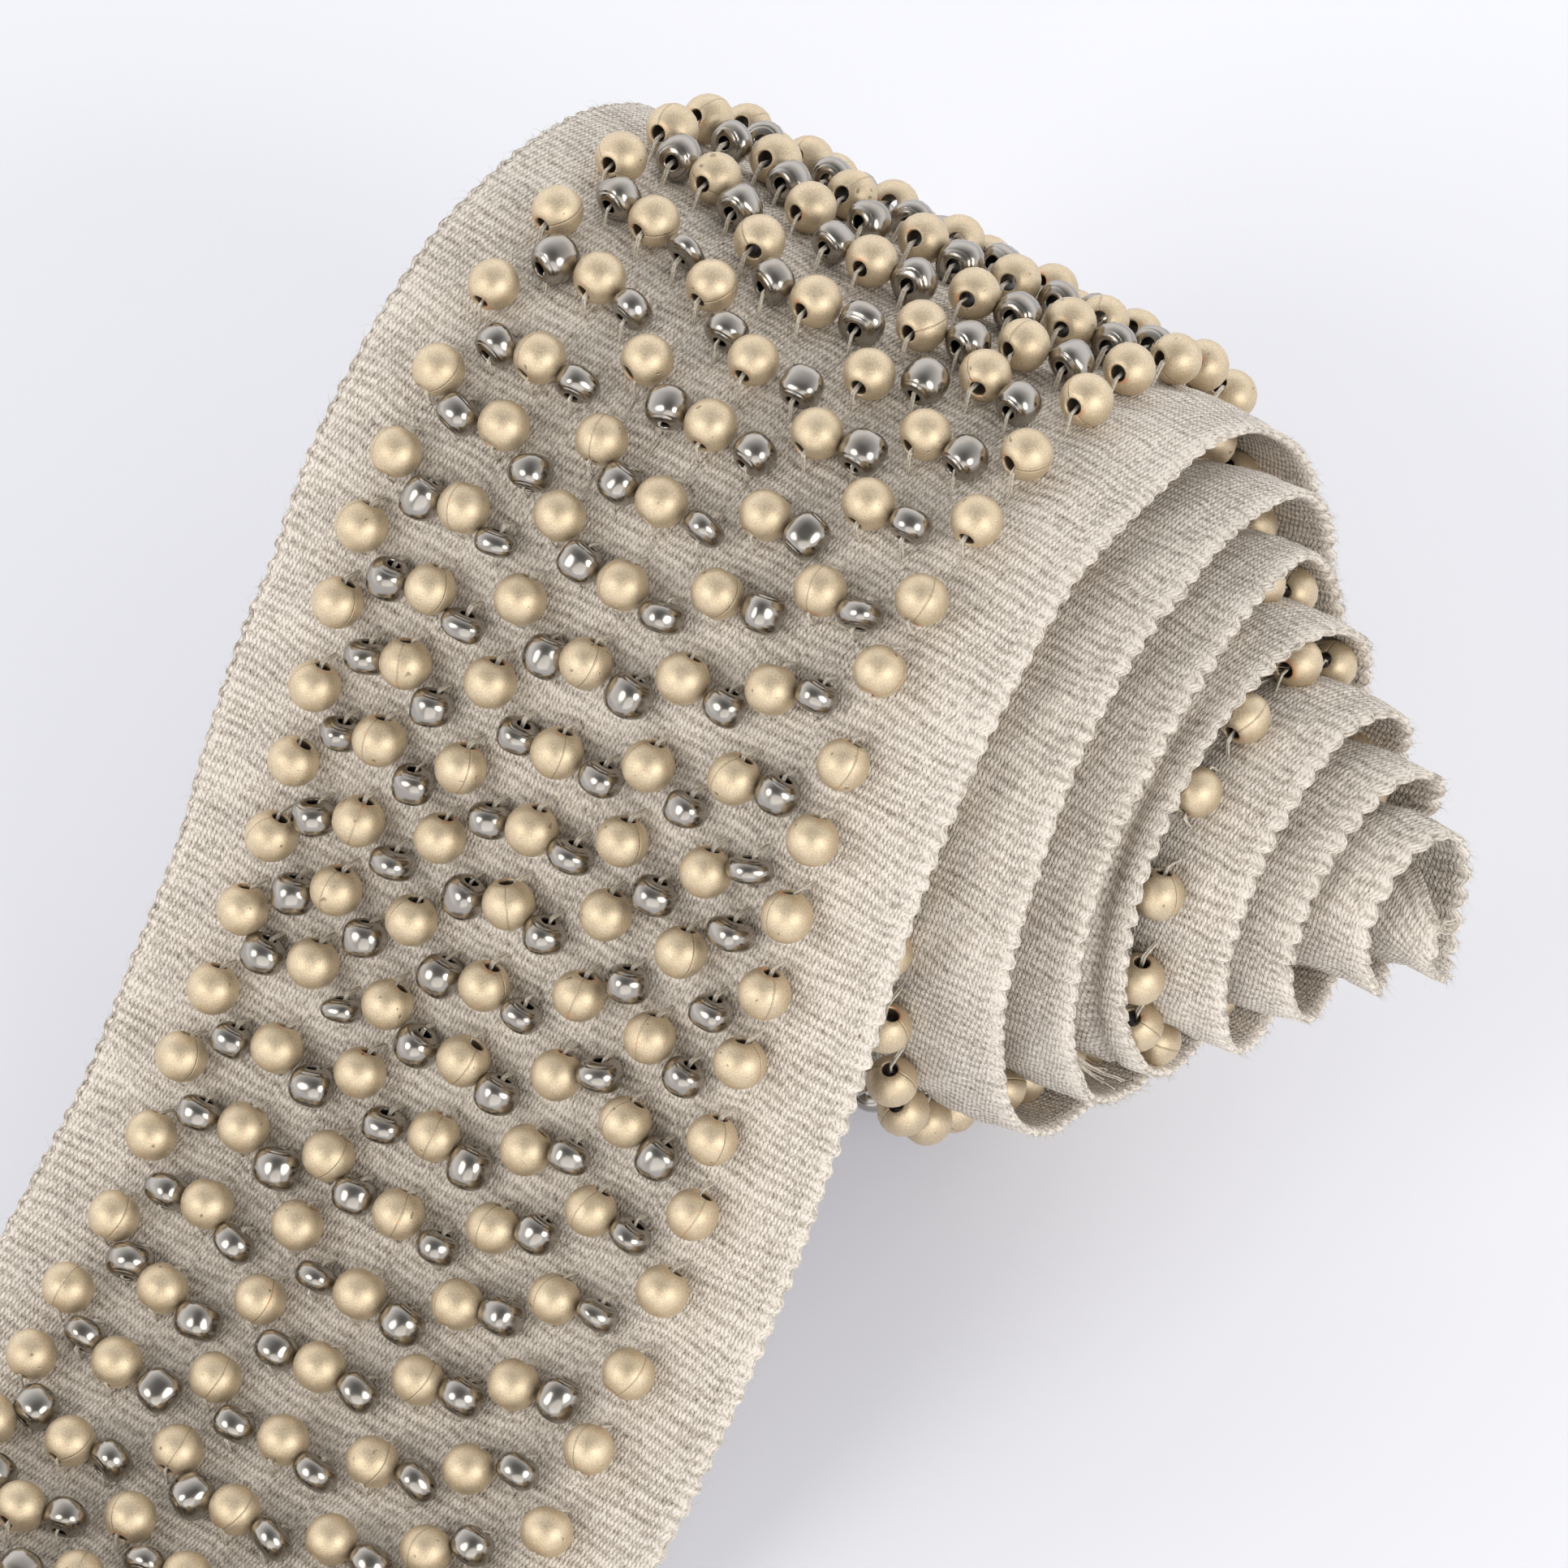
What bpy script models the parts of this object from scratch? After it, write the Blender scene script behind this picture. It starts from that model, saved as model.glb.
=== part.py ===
"""Roll of beaded trim: a woven band wound into a roll with its beads outward.

The turns step out to the right like a stair, and the loose end slopes from the
roll's crown down to the surface.  Metres, +Z up.  X runs along the roll to its
stepped-out end, -Y points to the loose end, and z = 0 is the surface.  Sizes
below are in millimetres, and lengths ending in _M are metres.
"""
import math

import bmesh
import bpy
import numpy as np
from mathutils import Matrix

MM = 0.001

# Band, as cut from the bolt.
BAND_WIDTH = 62.5
CLOTH = 1.2
PIECE_GAP = 0.3

# Bead rows, as distances from the left selvedge.
GOLD_ROWS = (7.7, 14.9, 22.4, 30.0, 37.8, 45.4, 53.2)
GOLD_HALF_FLAT = 0.9
GUNMETAL_HALF_FLAT = 0.5
ROW_FOOT = 1.7
GUNMETAL_SHARE = 0.76
VALLEY_SHARE = 0.5

# Height of the gold rows over the cloth: pressed where turns lie on them,
# full where they are free.
PRESSED_ROW = 2.8
FREE_ROW = 3.8
ROLL_ROW_RISE = 1.4

# The turns, from the outside in.  A row for each turn: where it is counted from
# the crown (turns), radius of the beaded face, right selvedge's x, roll's centre.
TURNS = np.array(
    [
        # turn, radius, edge_x, centre_y, centre_z
        (0.000, 31.6, 31.2, 0.0, 32.8),
        (0.833, 27.5, 36.1, -0.5, 32.9),
        (1.833, 23.0, 40.2, 0.1, 33.0),
        (2.833, 19.4, 43.1, 0.2, 33.1),
        (3.833, 14.5, 49.3, 0.8, 33.3),
        (4.833, 11.0, 52.9, 0.9, 33.4),
        (5.833, 7.6, 57.7, 0.9, 33.4),
        (7.000, 3.6, 63.0, 0.9, 33.4),
    ]
)
TURN_COUNT = 7
STEPS_PER_TURN = 44
EDGE_TILT = 0.122
OUTER_EDGE_TILT = 0.055
GROOVE = 1.6
CORE_DEPTH = 0.5
SHOULDER = 0.3

# Loose end: slope of the band below the horizontal, against the length run
# from the crown.
LOOSE_SLOPE = np.array(
    [
        # run, degrees
        (0.0, 0.0),
        (8.0, 14.0),
        (14.0, 24.0),
        (20.0, 34.5),
        (26.0, 43.5),
        (32.0, 51.0),
        (40.0, 55.0),
        (50.0, 56.5),
        (58.0, 53.5),
        (68.0, 46.0),
        (80.0, 35.5),
        (92.0, 27.0),
        (104.0, 17.5),
        (111.0, 7.0),
        (117.0, 0.0),
        (150.0, 0.0),
    ]
)
LOOSE_LENGTH = 150.0
LOOSE_STATIONS = 34
LOOSE_DRIFT = 0.030
# The roll's start face leans this much towards the loose end at its foot.
START_LEAN = 0.4
FINE_STEP = 0.25

CLOTH_COLOUR = (0.60, 0.55, 0.48, 1.0)


def clear_scene():
    """Remove every object that the new file holds."""
    for obj in list(bpy.data.objects):
        bpy.data.objects.remove(obj, do_unlink=True)


def fabric(name):
    """Make the woven cloth's material."""
    mat = bpy.data.materials.new(name)
    mat.use_nodes = True
    shader = mat.node_tree.nodes["Principled BSDF"]
    shader.inputs["Base Color"].default_value = CLOTH_COLOUR
    shader.inputs["Roughness"].default_value = 0.9
    shader.inputs["Metallic"].default_value = 0.0
    return mat


def row_profile():
    """Distances across the band and the share of the gold rows' height there."""
    gunmetal = [(a + b) / 2 for a, b in zip(GOLD_ROWS[:-1], GOLD_ROWS[1:])]
    across = [GOLD_ROWS[0] - ROW_FOOT]
    share = [0.0]
    for i, row in enumerate(GOLD_ROWS):
        across += [row - GOLD_HALF_FLAT, row + GOLD_HALF_FLAT]
        share += [1.0, 1.0]
        if i < len(gunmetal):
            mid = gunmetal[i]
            across += [row + ROW_FOOT, mid - GUNMETAL_HALF_FLAT]
            across += [mid + GUNMETAL_HALF_FLAT, mid + mid - row - ROW_FOOT]
            share += [VALLEY_SHARE, GUNMETAL_SHARE, GUNMETAL_SHARE, VALLEY_SHARE]
    across.append(GOLD_ROWS[-1] + ROW_FOOT)
    share.append(0.0)
    return np.array(across), np.array(share)


def smooth_column(turns, column):
    """A column of TURNS at the given turns, its corners eased over a third of a turn."""
    window = np.hanning(15)
    window /= window.sum()
    offsets = np.linspace(-1 / 6, 1 / 6, 15)
    knots = np.concatenate([[-1.0], TURNS[:, 0], [8.0]])
    values = TURNS[:, column]
    first = values[0] - (values[1] - values[0]) / (TURNS[1, 0] - TURNS[0, 0])
    last = values[-1] + (values[-1] - values[-2]) / (TURNS[-1, 0] - TURNS[-2, 0])
    values = np.concatenate([[first], values, [last]])
    grid = turns[:, None] + offsets[None, :]
    return (np.interp(grid, knots, values) * window).sum(axis=1)


def right_edge(turns):
    """The right selvedge's x: it steps out a little each turn and is cut askew."""
    tilt = np.interp(turns, [0.0, 0.8], [OUTER_EDGE_TILT, EDGE_TILT])
    lean = tilt * smooth_column(turns, 1) * np.sin(2 * math.pi * turns)
    return smooth_column(turns, 2) - lean


def on_roll(turns, x, radius):
    """Points at a place along the roll and a distance from its centre."""
    angle = 2 * math.pi * turns
    y = smooth_column(turns, 3) + radius * np.sin(angle)
    z = smooth_column(turns, 4) + radius * np.cos(angle)
    return np.stack([x + 0 * angle, y, np.maximum(z, 0.0)], axis=-1)


class Body:
    """Vertices and faces of one closed solid."""

    def __init__(self):
        self.verts = []
        self.faces = []

    def chain(self, points):
        """Add a line of points and return their numbers."""
        start = len(self.verts)
        self.verts += [tuple(p) for p in points]
        return list(range(start, start + len(points)))

    def strip(self, a, b):
        """Join two lines of points with four-sided faces."""
        for i in range(len(a) - 1):
            self.faces.append((a[i], a[i + 1], b[i + 1], b[i]))

    def build(self, name, material):
        """Make the object, with faces out and round pieces shaded smooth."""
        mesh = bpy.data.meshes.new(name)
        points = [tuple(MM * c for c in v) for v in self.verts]
        mesh.from_pydata(points, [], self.faces)
        mesh.materials.append(material)
        bm = bmesh.new()
        bm.from_mesh(mesh)
        bmesh.ops.recalc_face_normals(bm, faces=bm.faces)
        bm.to_mesh(mesh)
        bm.free()
        mesh.polygons.foreach_set("use_smooth", [True] * len(mesh.polygons))
        obj = bpy.data.objects.new(name, mesh)
        bpy.context.scene.collection.objects.link(obj)
        return obj


def wound_roll():
    """The roll: one solid of its spiral, stepped at both ends."""
    body = Body()
    per = STEPS_PER_TURN
    rows = TURN_COUNT * per
    turns = np.arange(rows + 1) / per
    radius = smooth_column(turns, 1)
    radius[0] = TURNS[0, 1]
    right = right_edge(turns)
    left = right - BAND_WIDTH

    # Beaded face of the outer turn: selvedge, groove end, bead rows, groove end,
    # selvedge.
    outer = turns[: per + 1]
    across, share = row_profile()
    rise = PRESSED_ROW + ROLL_ROW_RISE * np.sin(math.pi * outer) ** 4
    lines = [on_roll(outer, left[: per + 1], radius[: per + 1])]
    lines.append(on_roll(outer, left[: per + 1] + GROOVE, radius[: per + 1]))
    for w, part in zip(across, share):
        lines.append(on_roll(outer, left[: per + 1] + w, radius[: per + 1] + part * rise))
    foot = left[: per + 1] + across[-1] + SHOULDER
    shoulder = np.maximum(right_edge(outer - 1.0) - GROOVE, foot)
    lines.append(on_roll(outer, shoulder, radius[: per + 1]))
    lines.append(on_roll(outer, right[: per + 1], radius[: per + 1]))
    top = [body.chain(line) for line in lines]
    for a, b in zip(top[:-1], top[1:]):
        body.strip(a, b)

    # Both ends: lip of each turn, its underside, and the groove down to the next.
    # The inner turns' own faces follow on from the outer turn's last points.
    inner = turns[per:]
    for side, edge, step in ((1, right, -GROOVE), (-1, left, GROOVE)):
        lip_top = list(top[-1] if side > 0 else top[0])
        shelf_start = [top[-2][-1] if side > 0 else top[1][-1]]
        lip_top += body.chain(on_roll(inner[1:], edge[per + 1 :], radius[per + 1 :]))
        if side > 0:
            shelf_x = right[1 : rows - per + 1] + step
            under_x = right + step
        else:
            shelf_x = left[per + 1 :] + step
            next_turn = np.minimum(turns + 1.0, TURN_COUNT)
            under_x = right_edge(next_turn) - BAND_WIDTH + step
        shelf = shelf_start + body.chain(on_roll(inner[1:], shelf_x, radius[per + 1 :]))
        lip_low = body.chain(on_roll(turns, edge, radius - CLOTH))
        under = body.chain(on_roll(turns, under_x, radius - CLOTH))
        body.strip(lip_top, lip_low)
        body.strip(lip_low, under)
        body.strip(under[: rows - per + 1], shelf)
        body.strip(shelf, lip_top[per:])

        # Start of the outer turn, at the crown.
        near = top[-2] if side > 0 else top[1]
        body.faces.append((near[0], lip_top[0], lip_low[0], under[0]))
        body.faces.append((near[0], under[0], near[-1]))

        # Core, closed a little inside the last turn, and the band's inner end.
        core_x = shelf_x[-1] - side * CORE_DEPTH
        core = body.chain(on_roll(turns[-1:], core_x, np.zeros(1)))[0]
        last = under[rows - per :]
        for a, b in zip(last[:-1], last[1:]):
            body.faces.append((a, b, core))
        body.faces.append((shelf[-1], lip_top[-1], lip_low[-1], last[-1]))
        body.faces.append((shelf[-1], last[-1], core))
        body.faces.append((last[0], shelf[-1], core))

    for a, b in zip(top[1:-2], top[2:-1]):
        body.faces.append((a[0], b[0], b[-1], a[-1]))
    return body.build("wound_roll", fabric("wound_roll"))


def loose_route():
    """The loose end's beaded face: run, y, z and slope at each station."""
    fine = np.arange(0.0, LOOSE_LENGTH + FINE_STEP / 2, FINE_STEP)
    slope = np.radians(np.interp(fine, LOOSE_SLOPE[:, 0], LOOSE_SLOPE[:, 1]))
    window = np.hanning(33)
    slope = np.convolve(np.pad(slope, 16, mode="edge"), window / window.sum(), "valid")
    slope *= np.clip(fine / 4.0, 0.0, 1.0)
    slope[fine > LOOSE_SLOPE[-2, 0]] = 0.0
    mid = (slope[1:] + slope[:-1]) / 2
    y = -np.concatenate([[0.0], np.cumsum(FINE_STEP * np.cos(mid))])
    drop = np.concatenate([[0.0], np.cumsum(FINE_STEP * np.sin(mid))])
    # The whole fall is the crown's height over the cloth that lies flat.
    crown = TURNS[0, 4] + TURNS[0, 1]
    z = crown - drop * (crown - CLOTH) / drop[-1]
    run = np.linspace(PIECE_GAP + START_LEAN, LOOSE_LENGTH, LOOSE_STATIONS)
    return (
        run,
        np.interp(run, fine, y),
        np.interp(run, fine, z),
        np.interp(run, fine, slope),
    )


def loose_end():
    """The loose end: one sheet with its bead rows, from the crown to the cut."""
    body = Body()
    run, y, z, slope = loose_route()
    right = TURNS[0, 2] + LOOSE_DRIFT * run
    left = right - BAND_WIDTH
    across, share = row_profile()
    rise = np.interp(run, [0.0, 30.0], [PRESSED_ROW, FREE_ROW])
    across = np.concatenate([[0.0], across, [BAND_WIDTH]])
    share = np.concatenate([[0.0], share, [0.0]])

    def line(w, height):
        """Points at a distance from the left selvedge and a height over the cloth."""
        out = height + 0 * run
        return np.stack([left + w, y - out * np.sin(slope), z + out * np.cos(slope)], axis=-1)

    top = [body.chain(line(w, part * rise)) for w, part in zip(across, share)]
    under = [body.chain(line(w, -CLOTH)) for w in (0.0, BAND_WIDTH)]
    for a, b in zip(top[:-1], top[1:]):
        body.strip(a, b)
    body.strip(under[0], under[1])
    body.strip(top[0], under[0])
    body.strip(top[-1], under[1])
    for end in (0, -1):
        body.faces.append(tuple([t[end] for t in top] + [under[1][end], under[0][end]]))
    return body.build("loose_end", fabric("loose_end"))


def centre_over_origin(objects):
    """Move the pieces together so that their box stands centred on the origin."""
    corners = np.array([v.co[:] for obj in objects for v in obj.data.vertices])
    middle = (corners.min(axis=0) + corners.max(axis=0)) / 2
    shift = Matrix.Translation((-middle[0], -middle[1], 0.0))
    for obj in objects:
        obj.data.transform(shift)


def main():
    """Build both pieces in the shared frame."""
    clear_scene()
    centre_over_origin([wound_roll(), loose_end()])


main()
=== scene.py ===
"""Roll of beaded trim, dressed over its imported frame.

A linen band, sewn with matt gold and gunmetal beads, is wound into a roll whose
turns step out to the right, and its loose end slopes down to the table.

Sizes are in millimetres.  A place on the band is its run, across and height.  The
run is counted along the band from the roll's crown: positive down the loose end,
negative into the roll.  Across is counted from the left selvedge, and height is
over the beaded face.
"""
import logging
import math
from dataclasses import dataclass, field, replace
from enum import Enum

import bpy
import numpy as np
from mathutils import Matrix, Vector


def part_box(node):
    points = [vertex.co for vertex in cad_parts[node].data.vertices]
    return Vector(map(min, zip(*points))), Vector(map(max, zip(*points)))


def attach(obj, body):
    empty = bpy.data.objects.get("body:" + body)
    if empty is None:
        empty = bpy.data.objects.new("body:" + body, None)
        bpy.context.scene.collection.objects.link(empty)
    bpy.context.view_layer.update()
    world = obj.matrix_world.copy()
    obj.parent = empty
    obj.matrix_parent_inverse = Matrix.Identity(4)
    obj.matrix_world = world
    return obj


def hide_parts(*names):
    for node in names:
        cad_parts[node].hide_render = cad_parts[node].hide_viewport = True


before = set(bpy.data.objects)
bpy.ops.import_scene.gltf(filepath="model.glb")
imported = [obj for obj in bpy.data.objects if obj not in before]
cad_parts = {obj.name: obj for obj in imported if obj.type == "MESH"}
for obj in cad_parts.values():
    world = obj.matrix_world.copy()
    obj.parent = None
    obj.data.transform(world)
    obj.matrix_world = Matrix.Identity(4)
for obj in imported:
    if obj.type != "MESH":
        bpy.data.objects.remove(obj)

MM = 0.001
BODY = "root"
ROLL_NODE = "wound_roll"
LOOSE_NODE = "loose_end"
SEED = 20
# Room over a place of the band that nothing covers.
OPEN = 99.0

log = logging.getLogger("roll_of_beaded_trim")


class Bead(Enum):
    """Kinds of bead sewn to the band."""

    GOLD = "gold"
    GUNMETAL = "gunmetal"


@dataclass(frozen=True)
class Column:
    """One thread of beads along the band.

    Attributes:
        kind: which bead it carries.
        across: its distance from the left selvedge.
        runs: where the beads of every fourth row sit, the first one on the back
            of the roll and the last one near the foot of the loose end.
        rows_apart: rows from one of those beads to the next.
        wound_pitch: distance from bead to bead before the first of them.
        loose_pitch: distance from bead to bead past the last of them.
    """

    kind: Bead
    across: float
    runs: tuple[float, ...]
    rows_apart: float = 4.0
    wound_pitch: float = 6.89
    loose_pitch: float = 7.0

    def places(self, low: float, high: float) -> np.ndarray:
        """Find the runs of all the column's beads between two ends of the band.

        Args:
            low: the run where the beads start.
            high: the run where they end.

        Returns:
            The beads' runs in rising order.
        """
        knots = np.arange(len(self.runs)) * self.rows_apart
        before = math.ceil((self.runs[0] - low) / self.wound_pitch)
        after = math.ceil((high - self.runs[-1]) / self.loose_pitch)
        rows = np.arange(-before, knots[-1] + after + 1)
        runs = np.interp(rows, knots, self.runs)
        runs = np.where(rows < 0, self.runs[0] + self.wound_pitch * rows, runs)
        past = self.runs[-1] + self.loose_pitch * (rows - knots[-1])
        runs = np.where(rows > knots[-1], past, runs)
        return runs[(runs > low) & (runs < high)]


COLUMNS = (
    Column(Bead.GOLD, 7.8, (-16.5, 14.0, 40.5, 68.0, 96.0, 122.0)),
    Column(Bead.GUNMETAL, 11.0, (-21.0, 10.0, 36.5, 64.5, 91.5, 119.0)),
    Column(Bead.GOLD, 15.0, (-21.0, 9.5, 35.5, 62.5, 92.0, 121.5)),
    Column(Bead.GUNMETAL, 18.4, (-19.0, 10.0, 37.5, 64.5, 93.0, 119.5)),
    Column(Bead.GOLD, 22.6, (-23.5, 5.5, 33.5, 61.5, 89.0, 117.0)),
    Column(Bead.GUNMETAL, 26.1, (-26.5, 1.0, 29.5, 57.5, 85.0, 112.5)),
    Column(Bead.GOLD, 30.2, (-28.5, 1.5, 28.5, 56.5, 84.5, 111.5)),
    Column(Bead.GUNMETAL, 34.0, (-29.5, 1.5, 29.5, 57.0, 85.0, 112.5)),
    Column(Bead.GOLD, 38.0, (-30.5, -2.0, 26.0, 53.0, 81.5, 110.0)),
    Column(Bead.GUNMETAL, 41.8, (-31.5, -3.5, 26.5, 58.5, 87.5, 118.5)),
    Column(Bead.GOLD, 45.5, (-32.0, -7.0, 23.0, 53.5, 84.5, 115.5)),
    Column(Bead.GUNMETAL, 49.1, (-28.0, 0.0, 30.0, 55.0, 83.5, 111.5)),
    Column(Bead.GOLD, 53.4, (-38.0, -9.5, 18.5, 45.0, 72.0, 100.5)),
)


@dataclass
class BandPath:
    """Where the band's beaded face runs, round the roll and down the loose end.

    Attributes:
        width: selvedge to selvedge.
        cloth: the cloth's thickness.
        turns: a row for each turn: turns counted from the crown, radius of the
            beaded face, x of the right selvedge, and the roll's centre y and z.
        slopes: run down the loose end and its degrees below the horizontal.
        turn_count: turns from the crown to the raw inner end.
        edge_tilt: how far the turns step out sideways as they go down the front
            and back up, as a share of their radius.
        outer_edge_tilt: the same share at the crown.
        loose_length: length of the loose end, from the crown to its cut.
        drift: sideways travel of the loose end for each unit of its run.
        bead_room: height of the beads, which keeps the roll's foot off the table.
        foot_ease: how softly the roll's foot is pressed flat.
        selvedge: a row for each part of a turn past the crown: how far the wound
            band's right selvedge lies to the right of the path, and how far outside.
        ears: turns, and how far the selvedge stands out to the right just past a crown.
        ear_place: part of a turn past the crown where an ear is widest.
        ear_reach: how many turns an ear takes to fade.
        tip: rows like the selvedge's for the last turn, by turns from the crown.
        outer_flare: share of the outward shift that the outer turn has.
        pinch: turns where the right selvedge is drawn in, for how many, and how far.
        side_reach: how far in from the right selvedge a sideways shift reaches.
        flare_reach: how far in a flare outwards reaches.
        flare_flat: width of the part next to the selvedge that takes all of a flare.
        droop_reach: how far in a droop inwards reaches.
        droop_power: how sharply a droop grows towards the selvedge.
        droop_widens: turns where a droop starts to reach as far in as a flare, and
            over how many it changes.
        crown_fade: run down the loose end over which the bend fades away.
        slant: how much sooner the raw inner end is cut at the right selvedge.
        slant_width: how wide the slanting part of that cut is.
        step: distance between the worked-out places of the loose end.
    """

    width: float = 62.5
    cloth: float = 1.2
    turns: tuple[tuple[float, ...], ...] = (
        (0.000, 31.6, 31.2, 0.0, 32.8),
        (0.833, 27.5, 36.1, -0.5, 32.9),
        (1.833, 23.0, 40.2, 0.1, 33.0),
        (2.833, 19.4, 43.1, 0.2, 33.1),
        (3.833, 14.5, 49.3, 0.8, 33.3),
        (4.833, 11.0, 52.9, 0.9, 33.4),
        (5.833, 7.6, 57.7, 0.9, 33.4),
        (7.000, 3.6, 63.0, 0.9, 33.4),
    )
    slopes: tuple[tuple[float, float], ...] = (
        (0, 0), (8, 14), (14, 24), (20, 34.5), (26, 43.5), (32, 51), (40, 55),
        (50, 56.5), (58, 53.5), (68, 46), (80, 35.5), (92, 27), (104, 17.5),
        (111, 7), (117, 0), (150, 0),
    )
    turn_count: float = 7.2
    edge_tilt: float = 0.122
    outer_edge_tilt: float = 0.055
    loose_length: float = 150.0
    drift: float = 0.030
    bead_room: float = 4.1
    foot_ease: float = 0.15
    selvedge: tuple[tuple[float, float, float], ...] = (
        (0.00, 0.1, 1.2), (0.06, 0.0, 2.0), (0.12, 0.0, 2.4), (0.17, 0.0, 1.7),
        (0.22, 0.0, 0.3), (0.30, -0.6, -1.8), (0.38, -1.2, -2.2), (0.46, -0.6, -1.8),
        (0.54, 0.3, -1.4), (0.60, 0.7, -1.2), (0.66, 0.6, -1.0), (0.73, 0.4, -0.7),
        (0.82, -0.1, 0.0), (0.91, -0.3, 0.3), (1.00, 0.1, 1.2),
    )
    ears: tuple[tuple[float, float], ...] = (
        (0.15, -0.7), (1.15, 0.4), (2.15, -0.8), (3.15, 0.8), (4.15, 1.2), (5.15, 1.5),
        (6.15, 0.0),
    )
    ear_place: float = 0.15
    ear_reach: float = 0.08
    tip: tuple[tuple[float, float, float], ...] = (
        (5.40, 0.0, -2.1), (5.48, 0.4, -2.2), (5.56, 1.0, -2.4), (5.64, 1.2, -2.6),
        (5.72, 1.0, -2.4), (5.82, 0.4, -0.8), (5.90, 0.0, 1.2), (6.00, 0.2, 2.9),
        (6.10, 0.6, 2.8), (6.20, 0.9, 1.4), (6.30, 0.8, 0.2), (6.40, 1.3, -0.9),
        (6.50, 1.8, -1.9), (6.60, 1.2, -2.3), (6.70, 0.2, -2.2), (6.80, 0.0, -1.3),
        (6.90, 0.0, 1.0), (7.00, -0.3, 2.6), (7.20, -0.3, 3.2),
    )
    outer_flare: float = 0.4
    pinch: tuple[float, float, float] = (2.95, 0.16, -1.1)
    side_reach: float = 10.0
    flare_reach: float = 14.0
    flare_flat: float = 2.0
    droop_reach: float = 6.0
    droop_power: float = 1.5
    droop_widens: tuple[float, float] = (5.3, 0.3)
    crown_fade: float = 8.0
    slant: float = 5.0
    slant_width: float = 9.5
    step: float = 0.25

    def __post_init__(self) -> None:
        """Work out the band's line at close steps from end to end."""
        self._table = np.array(self.turns)
        runs, points, leans, turns = self._loose_line()
        arc, roll_points, roll_leans, roll_turns = self._roll_line()
        self._run = np.concatenate([-arc[:0:-1], runs])
        self._points = np.concatenate([roll_points[:0:-1], points])
        self._lean = np.concatenate([roll_leans[:0:-1], leans])
        self._turn = np.concatenate([roll_turns[:0:-1], turns])
        self.inner_end = float(self._run[0])
        self.cut_end = float(self._run[-1])
        self._selvedge = self._eased_selvedge()
        low = np.array(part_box(LOOSE_NODE)[0]) / MM
        self._points[:, 0] += low[0] - points[:, 0].min()
        self._points[:, 1] += low[1] - points[:, 1].min()

    def _eased_selvedge(self) -> list[np.ndarray]:
        """Round the corners of the selvedge's table off.

        Returns:
            The sideways and the outward shift at each 360th part of a turn.
        """
        part, *shifts = np.array(self.selvedge).T
        window = np.hanning(31)
        window /= window.sum()
        grid = np.arange(-1.0, 2.0, 1 / 360) % 1.0
        eased = [np.convolve(np.interp(grid, part, shift), window, "same") for shift in shifts]
        return [values[360:721] for values in eased]

    def _eased(self, turns: np.ndarray, column: int) -> np.ndarray:
        """Read a column of the turns' table, its corners eased over a third of a turn.

        Args:
            turns: turns from the crown.
            column: the table's column.

        Returns:
            The column's value at each of the turns.
        """
        window = np.hanning(15)
        offsets = np.linspace(-1 / 6, 1 / 6, 15)
        places, values = self._table[:, 0], self._table[:, column]
        first = values[0] - (values[1] - values[0]) / (places[1] - places[0])
        last = values[-1] + (values[-1] - values[-2]) / (places[-1] - places[-2])
        knots = np.concatenate([[-1.0], places, [places[-1] + 1.0]])
        values = np.concatenate([[first], values, [last]])
        grid = np.interp(turns[:, None] + offsets, knots, values)
        return grid @ window / window.sum()

    def radius(self, turns: np.ndarray) -> np.ndarray:
        """Give the radius of the beaded face at the given turns."""
        return self._eased(turns, 1)

    def right_edge(self, turns: np.ndarray) -> np.ndarray:
        """Give the right selvedge's x at the given turns, before the frame's shift."""
        tilt = np.interp(turns, [0.0, 0.8], [self.outer_edge_tilt, self.edge_tilt])
        return self._eased(turns, 2) - tilt * self.radius(turns) * np.sin(2 * math.pi * turns)

    def _roll_line(self) -> tuple[np.ndarray, ...]:
        """Trace the roll's spiral: radius and centre at each angle from the crown.

        The foot's height is b + e log(1 + exp((z - b) / e)), for the bead room b and
        the ease e, which presses a small flat spot into the roll.

        Returns:
            Arc from the crown, left selvedge's points, lean of the face and turns.
        """
        turns = np.linspace(0.0, self.turn_count, int(self.turn_count * 720) + 1)
        angle = 2 * math.pi * turns
        radius = self.radius(turns)
        radius += (self._table[0, 1] - radius[0]) * np.clip(1 - turns / 0.05, 0, 1)
        y = self._eased(turns, 3) + radius * np.sin(angle)
        z = self._eased(turns, 4) + radius * np.cos(angle)
        lift = np.logaddexp(0.0, (z - self.bead_room) / self.foot_ease)
        z = self.bead_room + self.foot_ease * lift
        arc = np.concatenate([[0.0], np.cumsum(np.hypot(np.diff(y), np.diff(z)))])
        points = np.stack([self.right_edge(turns) - self.width, y, z], axis=1)
        return arc, points, angle, turns

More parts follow.
